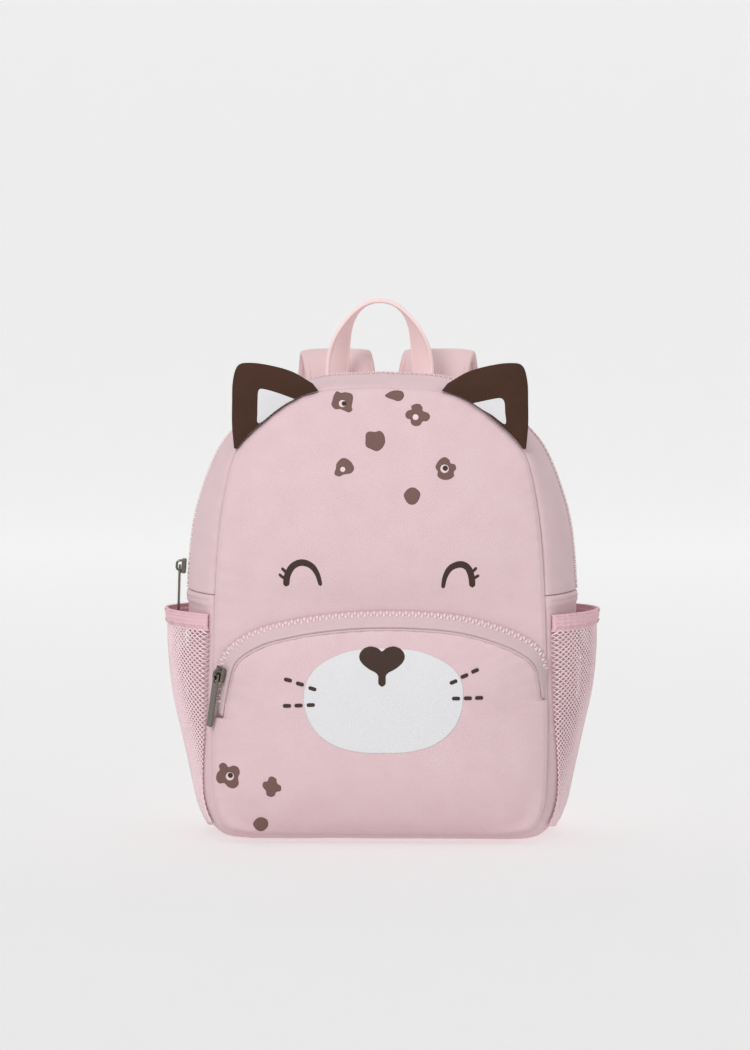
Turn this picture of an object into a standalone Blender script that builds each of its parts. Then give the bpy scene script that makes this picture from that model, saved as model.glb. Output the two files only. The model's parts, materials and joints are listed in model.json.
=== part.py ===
"""Child's backpack with an animal face: every sewn piece as its own solid.

Metres, +Z up, the face looks towards -Y, and the origin is the middle of the flat base.
"""

import math

import bmesh
import bpy
from mathutils import Matrix, Vector

# Cloth, clearance and overall size
CLOTH = 0.002
GAP = 0.0003
FRONT_HALF_WIDTH = 0.1095
FRONT_HEIGHT = 0.2913
SEAM_LIFT = 0.006
DEPTH = 0.098
TOP_SETBACK = 0.006
SIDE_BULGE = 0.0195
BACK_GROW = 0.003
UPPER_DOME = 0.013
LOWER_DOME = 0.005
BACK_PAD = 0.006

# How full the cloth stands between its seams: powers of the share of the way across
SWELL_POWER = 0.75
DOME_POWERS = (2.4, 0.8)
BACK_POWER = 4
POCKET_POWER = 3.2
MESH_POWERS = (0.6, 0.8)

# The seam between the upper gusset and the base gusset, where the main zip ends
JOIN_HEIGHT = 0.162
MAIN_ZIP_WIDTH = 0.015
MAIN_ZIP_DEEP = 0.5
MAIN_CHAIN_WIDTH = 0.006
MAIN_ZIP_THICKNESS = 0.0016
CHAIN_THICKNESS = 0.0015

# Front pocket and its zip
POCKET_TOP = 0.1365
POCKET_DEPTH = 0.0225
POCKET_MOUTH_DEPTH = 0.0165
POCKET_ZIP_RISE = 0.0098
POCKET_CHAIN_WIDTH = 0.005
POCKET_ZIP_THICKNESS = 0.0012
ZIP_END_SHARE = 0.006

# Open mesh pockets on the two sides
MESH_CLOTH = 0.001
MESH_TOP = 0.1495
MESH_BOTTOM = 0.014
MESH_BAG = 0.0115
BINDING_HEIGHT = 0.0104
BINDING_CLOTH = 0.0016

# Ears sewn into the front seam
EAR_EDGE = 0.0015
EAR_FRONT_PAD = 0.0045
EAR_BACK_PAD = 0.0005
EAR_SEAT = 0.0008
EAR_LINING = 0.0008

# Grab handle
HANDLE_HALF_SPAN = 0.0290
HANDLE_RISE = 0.052
HANDLE_WIDTH = 0.020
HANDLE_CLOTH = 0.0034
HANDLE_BASE_TURN = math.radians(32)
HANDLE_SEAT_SHARE = 0.4

# Shoulder straps, their webbing and ladder buckles
STRAP_WIDTH = 0.045
STRAP_THICKNESS = 0.008
STRAP_STANDOFF = 0.042
WEBBING_WIDTH = 0.020
WEBBING_THICKNESS = 0.0014
BUCKLE_WIDTH = 0.028
BUCKLE_LENGTH = 0.024
BUCKLE_THICKNESS = 0.003
BUCKLE_BAR = 0.0036
TAB_WIDTH = 0.024
TAB_LENGTH = 0.022
TAB_THICKNESS = 0.003
TAB_FLARES = (1.25, 1.12, 1.0)

# Zip sliders and pullers
SLIDER_LENGTH = 0.0100
SLIDER_WIDTH = 0.0075
SLIDER_HEIGHT = 0.0030
BRIDGE_HALF_SPAN = 0.0034
BRIDGE_WIRE = 0.0008
BRIDGE_RISE = 0.0034
PULLER_LENGTH = 0.036
PULLER_WIDTH = 0.0050
PULLER_THICKNESS = 0.0014
EYE_LENGTH = 0.0075
EYE_RAIL = 0.0013
POCKET_PULLER_TILT = math.radians(5)
MAIN_PULLER_TILT = math.radians(2)
POCKET_SLIDER_HEIGHT = 0.1095
MAIN_SLIDER_HEIGHT = 0.176

# Half of the front seam from the middle of the bottom to the middle of the top.
# across and up are shares of FRONT_HALF_WIDTH and FRONT_HEIGHT, bulge of SIDE_BULGE.
SEAM_TABLE = (
    # across, up, bulge
    (0.000, 0.000, 0.45),
    (0.330, 0.000, 0.45),
    (0.640, 0.000, 0.45),
    (0.830, 0.003, 0.46),
    (0.925, 0.018, 0.50),
    (0.975, 0.055, 0.60),
    (0.995, 0.120, 0.74),
    (1.000, 0.270, 0.92),
    (0.990, 0.400, 0.98),
    (0.980, 0.540, 1.00),
    (0.957, 0.671, 0.96),
    (0.925, 0.759, 0.80),
    (0.885, 0.827, 0.62),
    (0.838, 0.866, 0.50),
    (0.735, 0.909, 0.42),
    (0.540, 0.966, 0.36),
    (0.330, 0.993, 0.34),
    (0.000, 1.000, 0.34),
)

# Top edge of the pocket panel from its left end to its right end. across and up are shares
# of FRONT_HALF_WIDTH and POCKET_TOP, out of POCKET_MOUTH_DEPTH, rise of POCKET_ZIP_RISE.
ARCH_TABLE = (
    # across, up, out, rise
    (-0.935, 0.560, 0.20, 0.50),
    (-0.900, 0.690, 0.40, 0.80),
    (-0.876, 0.770, 0.58, 0.94),
    (-0.848, 0.828, 0.68, 1.00),
    (-0.785, 0.874, 0.78, 1.00),
    (-0.680, 0.918, 0.86, 1.00),
    (-0.560, 0.946, 0.92, 1.00),
    (-0.400, 0.972, 0.97, 1.00),
    (-0.200, 0.992, 1.00, 1.00),
    (0.000, 1.000, 1.00, 1.00),
    (0.237, 0.997, 1.00, 1.00),
    (0.443, 0.982, 0.97, 1.00),
    (0.607, 0.952, 0.92, 1.00),
    (0.772, 0.904, 0.82, 1.00),
    (0.885, 0.850, 0.68, 0.96),
    (0.932, 0.795, 0.50, 0.66),
    (0.950, 0.720, 0.28, 0.42),
)

# Left ear's free edge, from its inner corner on the front seam over the tip to its outer
# corner, and how far up its white lining reaches along the ear.
EAR_TABLE = (
    # across, up
    (0.400, 1.010),
    (0.520, 1.036),
    (0.650, 1.050),
    (0.770, 1.056),
    (0.845, 1.050),
    (0.875, 1.015),
    (0.880, 0.965),
    (0.880, 0.915),
    (0.868, 0.865),
)
EAR_INNER_SHARE = 0.365
EAR_OUTER_SHARE = 0.845
LINING_TABLE = (
    # along, up
    (0.250, 0.020),
    (0.330, 0.300),
    (0.460, 0.520),
    (0.600, 0.680),
    (0.690, 0.700),
    (0.750, 0.480),
    (0.775, 0.020),
)

# Middle line of the left strap's pad from where it is sewn on. across and up are shares of
# FRONT_HALF_WIDTH and FRONT_HEIGHT, back of STRAP_STANDOFF, width of STRAP_WIDTH.
STRAP_TABLE = (
    # across, back, up, width
    (0.325, 0.00, 0.870, 1.00),
    (0.325, 0.00, 0.950, 1.00),
    (0.330, 0.08, 1.012, 1.00),
    (0.340, 0.28, 1.056, 1.00),
    (0.350, 0.52, 1.066, 1.00),
    (0.365, 0.76, 1.040, 1.00),
    (0.390, 0.93, 0.960, 1.00),
    (0.440, 1.00, 0.840, 1.00),
    (0.530, 0.98, 0.690, 1.00),
    (0.620, 0.86, 0.530, 0.92),
    (0.700, 0.68, 0.410, 0.78),
    (0.740, 0.58, 0.350, 0.67),
)
ANCHOR_ACROSS = 0.900
ANCHOR_UP = 0.075

# The webbing's way through its ladder buckle: down in bar heights from the middle of the
# buckle, out in webbing thicknesses from its middle plane.
LACING_TABLE = (
    # down, out
    (6.0, -3.6),
    (3.6, -3.4),
    (1.6, -3.0),
    (-0.7, -2.2),
    (-1.55, -0.6),
    (-1.15, 1.6),
    (0.0, 2.3),
    (2.0, 2.3),
    (4.5, 2.5),
    (9.0, 1.4),
)

# Side view of a slider's bridge, in shares of its half span and its height
BRIDGE_TABLE = (
    # along, up
    (-1.0, 0.00),
    (-1.0, 0.55),
    (-0.8, 0.88),
    (-0.45, 1.00),
    (0.45, 1.00),
    (0.8, 0.88),
    (1.0, 0.55),
    (1.0, 0.00),
)


def smoothstep(low, high, value):
    share = min(1.0, max(0.0, (value - low) / (high - low)))
    return share * share * (3 - 2 * share)


def spread(low, high, count):
    return [low + (high - low) * k / (count - 1) for k in range(count)]


def spline(rows, count, measured=2):
    """count rows, evenly spaced by their first measured numbers, on a smooth curve."""
    rows = [Vector(row) for row in rows]
    dense = []
    for index in range(len(rows) - 1):
        start, end = rows[index], rows[index + 1]
        before = rows[index - 1] if index else start * 2 - end
        after = rows[index + 2] if index + 2 < len(rows) else end * 2 - start
        for step in range(16):
            t = step / 16
            turn = (2 * before - 5 * start + 4 * end - after) * t**2
            turn += (3 * start - before - 3 * end + after) * t**3
            dense.append(start + ((end - before) * t + turn) * 0.5)
    dense.append(rows[-1])
    lengths = [0.0]
    for first, second in zip(dense, dense[1:]):
        step = math.dist(first[:measured], second[:measured])
        lengths.append(lengths[-1] + step)
    points = []
    place = 0
    for index in range(count):
        target = lengths[-1] * index / (count - 1)
        while place < len(dense) - 2 and lengths[place + 1] < target:
            place += 1
        span = lengths[place + 1] - lengths[place]
        share = (target - lengths[place]) / span
        points.append(dense[place].lerp(dense[place + 1], min(1.0, max(0.0, share))))
    return points


def sample(rows, share):
    """The row at a share of the way along evenly spaced rows."""
    place = min(1.0, max(0.0, share)) * (len(rows) - 1)
    index = min(int(place), len(rows) - 2)
    return rows[index].lerp(rows[index + 1], place - index)


SEAM_ROWS = spline(
    [(across * FRONT_HALF_WIDTH, up * FRONT_HEIGHT, bulge) for across, up, bulge in SEAM_TABLE],
    241,
)
ARCH_ROWS = spline(
    [
        (across * FRONT_HALF_WIDTH, up * POCKET_TOP, out, rise)
        for across, up, out, rise in ARCH_TABLE
    ],
    97,
)
EAR_ROWS = spline([(across * FRONT_HALF_WIDTH, up * FRONT_HEIGHT) for across, up in EAR_TABLE], 49)


def seam(share):
    """x, z, bulge and the outward direction at a share, -1 to 1, round the front seam.

    0 is the middle of the bottom, 1 and -1 the middle of the top, and + is the +X side.
    """
    side = math.copysign(1.0, share)
    here = sample(SEAM_ROWS, abs(share))
    ahead = sample(SEAM_ROWS, abs(share) + 0.006)
    behind = sample(SEAM_ROWS, abs(share) - 0.006)
    along = Vector((ahead[0] - behind[0], ahead[1] - behind[1])).normalized()
    if abs(share) < 0.003 or abs(share) > 0.997:
        along = Vector((math.copysign(1.0, 0.5 - abs(share)), 0.0))
    outward = Vector((side * along[1], 0.0, -along[0]))
    return side * here[0], here[1] + SEAM_LIFT, here[2], outward


def share_where(test):
    """The first share on the +X half of the seam where test(x, z) holds."""
    steps = 2000
    return next(k / steps for k in range(steps) if test(*seam(k / steps)[:2]))


def front_y(z):
    """Depth of the front seam, which leans back towards the top."""
    return -DEPTH / 2 + TOP_SETBACK * smoothstep(0.55, 1.0, (z - SEAM_LIFT) / FRONT_HEIGHT)


def gusset_point(share, deep, lift=0.0):
    """A point of the bag's side wall, from behind the face panel's edge to the back seam."""
    x, z, bulge, outward = seam(share)
    swell = math.sin(math.pi * min(1.0, max(0.0, deep))) ** SWELL_POWER
    grow = BACK_GROW + (SEAM_LIFT - BACK_GROW) * max(0.0, -outward.z)
    out = SIDE_BULGE * bulge * swell + grow * deep + lift
    start = front_y(z) + CLOTH + GAP
    y = start + (DEPTH / 2 - start) * deep
    floor = -lift if lift < 0 else 0.0
    return Vector((x + outward.x * out, y, max(floor, z + outward.z * out)))


def rim_share(x, z, grow=0.0):
    """How far out (x, z) lies from the panel's middle, 1 at the seam."""
    middle = panel_middle()
    ray = Vector((x, z - middle))
    if ray.length < 1e-6:
        return 0.0
    low, high = 0.0, 1.0
    side = math.copysign(1.0, x) if x else 1.0
    angle = math.atan2(ray.y, abs(ray.x))
    for _ in range(30):
        mid = (low + high) / 2
        seam_x, seam_z = seam(side * mid)[:2]
        if math.atan2(seam_z - middle, abs(seam_x)) < angle:
            low = mid
        else:
            high = mid
    seam_x, seam_z, _, outward = seam(side * low)
    rim = Vector((seam_x + outward.x * grow, seam_z + outward.z * grow - middle))
    return ray.length / rim.length


def panel_middle():
    return SEAM_LIFT + FRONT_HEIGHT / 2


def front_surface(x, z):
    """Depth of the face panel's outer side."""
    share = min(1.0, rim_share(x, z))
    blend = smoothstep(0.33, 0.68, (z - SEAM_LIFT) / FRONT_HEIGHT)
    dome = LOWER_DOME + (UPPER_DOME - LOWER_DOME) * blend
    return front_y(z) - dome * (1 - share ** DOME_POWERS[0]) ** DOME_POWERS[1]


def back_surface(x, z):
    """Depth of the padded back's outer side."""
    share = min(1.0, rim_share(x, z, BACK_GROW))
    return DEPTH / 2 + GAP + CLOTH + BACK_PAD * (1 - share**BACK_POWER)


# Blender objects


def collection(name):
    made = bpy.data.collections.new(name)
    bpy.context.scene.collection.children.link(made)
    return made


def material(name, red, green, blue, roughness, metallic=0.0):
    made = bpy.data.materials.new(name)
    made.use_nodes = True
    shader = made.node_tree.nodes["Principled BSDF"]
    shader.inputs["Base Color"].default_value = (red, green, blue, 1.0)
    shader.inputs["Roughness"].default_value = roughness
    shader.inputs["Metallic"].default_value = metallic
    made.diffuse_color = (red, green, blue, 1.0)
    return made


def add_object(name, data, finish, where, matrix=None):
    made = bpy.data.objects.new(name, data)
    where.objects.link(made)
    if matrix is not None:
        made.matrix_world = matrix
    data.materials.append(finish)
    return made


def mesh_from(name, points, faces):
    mesh = bpy.data.meshes.new(name)
    mesh.from_pydata(points, [], faces)
    mesh.validate()
    mesh.shade_smooth()
    mesh.set_sharp_from_angle(angle=math.radians(40))
    return mesh


def grid_faces(rows, columns, flip, start=0):
    faces = []
    for i in range(rows - 1):
        for j in range(columns - 1):
            corner = start + i * columns + j
            face = (corner, corner + 1, corner + columns + 1, corner + columns)
            faces.append(face[::-1] if flip else face)
    return faces


def sheet(name, rows, thickness, finish, where, flip=False):
    """A sheet of cloth over a grid of points, with its wall on the inner side."""
    points = [point for row in rows for point in row]
    made = add_object(
        name, mesh_from(name, points, grid_faces(len(rows), len(rows[0]), flip)), finish, where
    )
    wall = made.modifiers.new("Wall", "SOLIDIFY")
    wall.thickness = thickness
    wall.offset = -1.0
    wall.use_even_offset = True
    return made


def disc_faces(rings, sides, flip, start=0):
    """Faces of a middle point and rings of points round it."""
    faces = []
    for j in range(sides):
        face = (start, start + 1 + j, start + 1 + (j + 1) % sides)
        faces.append(face[::-1] if flip else face)
    for i in range(rings - 1):
        inner = start + 1 + i * sides
        for j in range(sides):
            after = (j + 1) % sides
            face = (inner + j, inner + sides + j, inner + sides + after, inner + after)
            faces.append(face[::-1] if flip else face)
    return faces


def disc_sheet(name, middle, rings, thickness, finish, where):
    points = [middle] + [point for ring in rings for point in ring]
    faces = disc_faces(len(rings), len(rings[0]), False)
    made = add_object(name, mesh_from(name, points, faces), finish, where)
    wall = made.modifiers.new("Wall", "SOLIDIFY")
    wall.thickness = thickness
    wall.offset = -1.0
    return made


def two_sided(name, front, back, finish, where, flip=False):
    """A closed piece between two grids of points of one size, joined round their edge."""
    rows, columns = len(front), len(front[0])
    points = [point for row in front for point in row] + [point for row in back for point in row]
    count = rows * columns
    faces = grid_faces(rows, columns, flip) + grid_faces(rows, columns, not flip, count)
    edge = list(range(columns))
    edge += [i * columns + columns - 1 for i in range(1, rows)]
    edge += [(rows - 1) * columns + j for j in range(columns - 2, -1, -1)]
    edge += [i * columns for i in range(rows - 2, 0, -1)]
    for here, after in zip(edge, edge[1:] + edge[:1]):
        face = (after, here, here + count, after + count)
        faces.append(face[::-1] if flip else face)
    return add_object(name, mesh_from(name, points, faces), finish, where)


FLAT_BAND = ((-1, -1), (1, -1), (1, 1), (-1, 1))
ROUND_BAND = (
    (-1, -0.4),
    (-0.88, -1),
    (0.88, -1),
    (1, -0.4),
    (1, 0.4),
    (0.88, 1),
    (-0.88, 1),
    (-1, 0.4),
)


def band(name, points, widths, thickness, finish, where, turns=None, section=FLAT_BAND):
    """A strap lofted along points, its width level unless turned about the way it runs."""
    last = len(points) - 1
    loops = []
    for index, point in enumerate(points):
        along = (points[min(last, index + 1)] - points[max(0, index - 1)]).normalized()
        across = Vector((1.0, 0.0, 0.0))
        across = (across - along * across.dot(along)).normalized()
        if turns:
            across = (turns[index] - along * turns[index].dot(along)).normalized()
        outward = along.cross(across)
        loops.append(
            [
                point + across * (wide * widths[index] / 2) + outward * (thick * thickness / 2)
                for wide, thick in section
            ]
        )
    sides = len(section)
    vertices = [point for loop in loops for point in loop]
    faces = [tuple(reversed(range(sides)))]
    faces.append(tuple(last * sides + j for j in range(sides)))
    for i in range(last):
        for j in range(sides):
            after = (j + 1) % sides
            low = i * sides
            faces.append((low + j, low + after, low + sides + after, low + sides + j))
    return add_object(name, mesh_from(name, vertices, faces), finish, where)


def frame_matrix(origin, across, along):
    """Axes of a fitting: X across the zip, Y along it and Z out of the cloth."""
    y = along.normalized()
    z = across.cross(y).normalized()
    x = y.cross(z)
    matrix = Matrix((x, y, z)).transposed().to_4x4()
    matrix.translation = origin
    return matrix


# The sewn pieces


def gusset_strip(name, shares, deeps, thickness, finish, where, lift=0.0):
    rows = [[gusset_point(share, deep, lift) for deep in deeps] for share in shares]
    return sheet(name, rows, thickness, finish, where)


def build_gussets(cloth, tape, teeth, where):
    join = share_where(lambda x, z: z > JOIN_HEIGHT)
    half_length = sum(
        math.dist(a[:2], b[:2]) for a, b in zip(SEAM_ROWS, SEAM_ROWS[1:])
    )
    seam_gap = GAP / half_length
    zip_half = MAIN_ZIP_WIDTH / DEPTH / 2
    chain_half = MAIN_CHAIN_WIDTH / DEPTH / 2
    gap = GAP / DEPTH

    def upper(count):
        reach = 1.0 - join - seam_gap
        shares = spread(reach, -reach, count)
        return [math.copysign(1.0 - abs(k), k) for k in shares]

    lower = spread(-join, join, 41)
    front = spread(0.0, MAIN_ZIP_DEEP - zip_half - gap, 5)
    back = spread(MAIN_ZIP_DEEP + zip_half + gap, 1.0, 5)
    gusset_strip("gusset_lower", lower, spread(0.0, 1.0, 9), CLOTH, cloth, where)
    gusset_strip("gusset_front", upper(41), front, CLOTH, cloth, where)
    gusset_strip("gusset_back", upper(41), back, CLOTH, cloth, where)
    gusset_strip(
        "main_zip_tape", upper(41), spread(MAIN_ZIP_DEEP - zip_half, MAIN_ZIP_DEEP + zip_half, 3),
        MAIN_ZIP_THICKNESS, tape, where,
    )
    gusset_strip(
        "main_zip_chain", upper(41), spread(MAIN_ZIP_DEEP - chain_half, MAIN_ZIP_DEEP + chain_half, 2),
        CHAIN_THICKNESS, teeth, where, lift=CHAIN_THICKNESS + GAP * 2,
    )


def build_front_panel(cloth, where):
    sides, shares = 64, (0.22, 0.48, 0.72, 0.9, 1.0)
    middle = panel_middle()
    rings = []
    for share in shares:
        ring = []
        for j in range(sides):
            place = -1.0 + 2.0 * j / sides
            x, z = seam(place)[:2]
            x, z = x * share, middle + (z - middle) * share
            ring.append(Vector((x, front_surface(x, z), z)))
        rings.append(ring)
    centre = Vector((0.0, front_surface(0.0, middle), middle))
    disc_sheet("front_panel", centre, rings, CLOTH, cloth, where)


def build_back_panel(cloth, where):
    sides, shares = 48, (0.4, 0.7, 0.88, 0.96, 1.0)
    middle = panel_middle()
    outer, inner = [], []
    for share in shares:
        outer_ring, inner_ring = [], []
        for j in range(sides):
            edge = gusset_point(-1.0 + 2.0 * j / sides, 1.0)
            x = edge.x * share
            z = middle + (edge.z - middle) * share
            outer_ring.append(Vector((x, back_surface(x, z), z)))
            inner_ring.append(Vector((x, DEPTH / 2 + GAP, z)))
        outer.append(outer_ring)
        inner.append(inner_ring)
    points = [Vector((0.0, back_surface(0.0, middle), middle))]
    points += [point for ring in outer for point in ring]
    count = len(points)
    points += [Vector((0.0, DEPTH / 2 + GAP, middle))]
    points += [point for ring in inner for point in ring]
    faces = disc_faces(len(shares), sides, True) + disc_faces(len(shares), sides, False, count)
    rim = 1 + (len(shares) - 1) * sides
    for j in range(sides):
        here, after = rim + j, rim + (j + 1) % sides
        faces.append((here, after, after + count, here + count))
    add_object("back_panel", mesh_from("back_panel", points, faces), cloth, where)


def arch(share):
    """x, z, depth and rise of the pocket's mouth at a share from its left to right end."""
    x, z, out, rise = sample(ARCH_ROWS, share)
    z += SEAM_LIFT
    return x, z, front_y(z) - 2 * GAP - CLOTH - out * POCKET_MOUTH_DEPTH, rise


def build_pocket(cloth, tape, teeth, where):
    left, right = arch(0.0), arch(1.0)
    left_share = -share_where(lambda x, z: z > left[1])
    right_share = share_where(lambda x, z: z > right[1])
    border = []
    for share in spread(left_share, right_share, 39):
        x, z = seam(share)[:2]
        border.append(Vector((x, front_y(z) - GAP - CLOTH, z)))
    zip_shares = spread(ZIP_END_SHARE, 1.0 - ZIP_END_SHARE, 29)
    for share in [1.0] + zip_shares[::-1] + [0.0]:
        x, z, y, _ = arch(share)
        border.append(Vector((x, y, z)))
    middle_z = SEAM_LIFT + POCKET_TOP * 0.5
    crown = -DEPTH / 2 - GAP - CLOTH - POCKET_DEPTH
    rings = []
    for share in (0.35, 0.65, 0.86, 1.0):
        ring = []
        for point in border:
            x, z = point.x * share, middle_z + (point.z - middle_z) * share
            ring.append(Vector((x, crown + (point.y - crown) * share**POCKET_POWER, z)))
        rings.append(ring)
    disc_sheet("pocket_panel", Vector((0.0, crown, middle_z)), rings, CLOTH, cloth, where)

    facing, chain = [], []
    for share in zip_shares:
        low, high = zip_edges(share)
        length = (high - low).length
        teeth_width = min(POCKET_CHAIN_WIDTH, length * 0.5)
        facing.append([low, low.lerp(high, 1 - (teeth_width + 2 * GAP) / length)])
        chain.append([low.lerp(high, 1 - teeth_width / length), high])
    sheet("pocket_zip_tape", facing, POCKET_ZIP_THICKNESS, tape, where)
    sheet("pocket_zip_chain", chain, CHAIN_THICKNESS, teeth, where)


def zip_edges(share):
    """Lower and upper edge of the strip that closes the pocket's mouth."""
    x, z, y, rise = arch(share)
    ahead, behind = arch(share + 0.01), arch(share - 0.01)
    up = Vector((behind[1] - ahead[1], 0.0, ahead[0] - behind[0])).normalized()
    low = Vector((x, y, z)) + up * GAP
    high = low + up * rise * POCKET_ZIP_RISE
    high.y = front_surface(high.x, high.z) - 2 * GAP
    return low, high


def build_mesh_pocket(side, name, net, binding, where):
    columns = 11
    low = share_where(lambda x, z: z > MESH_BOTTOM)
    top = share_where(lambda x, z: z > MESH_TOP)
    seat = share_where(lambda x, z: z > MESH_TOP - BINDING_HEIGHT)

    def point(share, across, lift):
        height = (share - low) / (top - low)
        start = 0.03 + 0.10 * (1 - smoothstep(0.0, 0.62, height))
        deep = start + (0.975 - start) * across
        bag = MESH_BAG * math.sin(math.pi * across) ** MESH_POWERS[0]
        bag *= smoothstep(-0.12, 0.62, height) ** MESH_POWERS[1]
        bag += GAP * 2 * (1 - smoothstep(0.0, 0.25, height))
        return gusset_point(side * share, deep, lift + bag)

    def rows(start, end, count, lift):
        return [
            [point(share, across, lift) for across in spread(0.0, 1.0, columns)]
            for share in spread(start, end, count)
        ]

    seam_gap = GAP / (FRONT_HEIGHT * 1.3)
    flip = side < 0
    lift = MESH_CLOTH + 2 * GAP
    sheet(f"mesh_pocket_{name}", rows(low, seat - seam_gap, 9, lift), MESH_CLOTH, net, where, flip)
    lift = BINDING_CLOTH + 2 * GAP
    sheet(f"pocket_binding_{name}", rows(seat, top, 2, lift), BINDING_CLOTH, binding, where, flip)


def ear_point(side, along, up, out):
    """A point of an ear: along its sewn edge, up to its free edge, out of its middle."""
    start = share_where(lambda x, z: z > panel_middle() and x < EAR_OUTER_SHARE * FRONT_HALF_WIDTH)
    end = share_where(lambda x, z: z > panel_middle() and x < EAR_INNER_SHARE * FRONT_HALF_WIDTH)
    x, z, _, outward = seam(end + (start - end) * along)
    base = Vector((x + outward.x * EAR_SEAT, z + outward.z * EAR_SEAT))
    edge = sample(EAR_ROWS, along)
    free = Vector((edge[0], edge[1] + SEAM_LIFT))
    place = base.lerp(free, up)
    return Vector((side * place.x, front_y(z) + CLOTH / 2 - out, place.y))


def ear_padding(along, up):
    return (4 * along * (1 - along)) ** 0.7 * math.sin(math.pi * (0.1 + 0.9 * up)) ** 0.7


def build_ear(side, name, cloth, lining, where):
    front, back = [], []
    for up in spread(0.0, 1.0, 6):
        shares = spread(0.0, 1.0, 11)
        pads = [ear_padding(along, up) for along in shares]
        front.append(
            [
                ear_point(side, along, up, EAR_EDGE / 2 + EAR_FRONT_PAD * pad)
                for along, pad in zip(shares, pads)
            ]
        )
        back.append(
            [
                ear_point(side, along, up, -EAR_EDGE / 2 - EAR_BACK_PAD * pad)
                for along, pad in zip(shares, pads)
            ]
        )
    two_sided(f"ear_{name}", front, back, cloth, where, flip=side < 0)

    outer, inner = [], []
    for row in spline(LINING_TABLE, 9):
        shares = spread(0.04, row[1], 5)
        pads = [EAR_EDGE / 2 + EAR_FRONT_PAD * ear_padding(row[0], up) + 2 * GAP for up in shares]
        inner.append([ear_point(side, row[0], up, pad) for up, pad in zip(shares, pads)])
        outer.append([ear_point(side, row[0], up, pad + EAR_LINING) for up, pad in zip(shares, pads)])
    two_sided(f"ear_lining_{name}", outer, inner, lining, where, flip=side > 0)


def top_surface(x, y):
    """Height of the bag's top wall over (x, y)."""
    share = share_where(lambda near, z: z > panel_middle() and near < max(abs(x), GAP))
    start = front_y(SEAM_LIFT + FRONT_HEIGHT) + CLOTH + GAP
    return gusset_point(share, (y - start) / (DEPTH / 2 - start)).z


def build_handle(webbing, where):
    """An arch of webbing, edge on at the top and turned where it is sewn on."""
    count = 25
    points, turns = [], []
    base = top_surface(HANDLE_HALF_SPAN, DEPTH / 2 - HANDLE_WIDTH * HANDLE_SEAT_SHARE)
    for k in range(count):
        turn = math.pi * (1 - k / (count - 1))
        x = HANDLE_HALF_SPAN * math.copysign(abs(math.cos(turn)) ** 0.72, math.cos(turn))
        z = base + HANDLE_RISE * math.sin(turn) ** 0.72
        points.append(Vector((x, DEPTH / 2 - HANDLE_WIDTH * HANDLE_SEAT_SHARE, z)))
        twist = HANDLE_BASE_TURN * (1 - smoothstep(0.0, 0.8, (z - base) / HANDLE_RISE))
        twist = math.copysign(twist, -x)
        turns.append(Vector((math.sin(twist), math.cos(twist), 0.0)))
    made = band("handle", points, [HANDLE_WIDTH] * count, HANDLE_CLOTH, webbing, where, turns)
    corners = made.data.vertices
    for corner in list(corners)[: len(FLAT_BAND)] + list(corners)[-len(FLAT_BAND) :]:
        corner.co.z = top_surface(corner.co.x, min(corner.co.y, DEPTH / 2)) + 4 * GAP


def strap_rows():
    half = STRAP_WIDTH / 2
    rows = []
    for across, back, up, width in STRAP_TABLE:
        x = across * FRONT_HALF_WIDTH
        z = SEAM_LIFT + up * FRONT_HEIGHT
        level = min(z, SEAM_LIFT + FRONT_HEIGHT)
        panel = max(back_surface(near, level) for near in (x - half, x, x + half))
        y = panel + GAP * 2 + STRAP_THICKNESS / 2 + back * STRAP_STANDOFF
        rows.append((x, y, z, width))
    return spline(rows, 31, measured=3)


def build_strap(side, name, pad, webbing, plastic, where):
    rows = strap_rows()
    points = [Vector((side * row[0], row[1], row[2])) for row in rows]
    widths = [row[3] * STRAP_WIDTH for row in rows]
    band(f"strap_{name}", points, widths, STRAP_THICKNESS, pad, where, section=ROUND_BAND)

    anchor_x = side * ANCHOR_ACROSS * FRONT_HALF_WIDTH
    anchor_z = SEAM_LIFT + ANCHOR_UP * FRONT_HEIGHT
    seat = back_surface(anchor_x - side * TAB_WIDTH, anchor_z + TAB_LENGTH / 2)
    anchor = Vector((anchor_x, seat + GAP * 2 + TAB_THICKNESS / 2, anchor_z))
    end = points[-1]
    down = (anchor - end).normalized()
    buckle_middle = end + down * (BUCKLE_LENGTH / 2 + 2 * GAP)
    out = Vector((1.0, 0.0, 0.0)).cross(-down).normalized()
    level = out.cross(down).normalized()
    matrix = frame_matrix(buckle_middle, level, -down)
    add_buckle(f"strap_buckle_{name}", matrix, plastic, where)

    away = matrix.to_3x3().col[2]
    if away.y < 0:
        away = -away
    tab_top = anchor - down * TAB_LENGTH
    band(
        f"strap_tab_{name}", [anchor, anchor.lerp(tab_top, 0.5), tab_top],
        [TAB_WIDTH * flare for flare in TAB_FLARES], TAB_THICKNESS, webbing, where,
    )
    route = [tab_top - down * GAP, tab_top.lerp(buckle_middle, 0.4)]
    for down_share, out_share in LACING_TABLE:
        place = buckle_middle + down * down_share * BUCKLE_BAR
        route.append(place + away * out_share * WEBBING_THICKNESS)
    route = spline(route, 45, measured=3)
    band(
        f"strap_webbing_{name}", route, [WEBBING_WIDTH] * len(route), WEBBING_THICKNESS, webbing, where
    )


def add_flat(name, outlines, thickness, matrix, finish, where):
    """A flat plate with an outline and holes, as a filled curve."""
    curve = bpy.data.curves.new(name, "CURVE")
    curve.dimensions = "2D"
    curve.fill_mode = "BOTH"
    curve.extrude = thickness / 2
    for outline in outlines:
        line = curve.splines.new("POLY")
        line.points.add(len(outline) - 1)
        for point, (x, y) in zip(line.points, outline):
            point.co = (x, y, 0.0, 1.0)
        line.use_cyclic_u = True
    return add_object(name, curve, finish, where, matrix)


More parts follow.
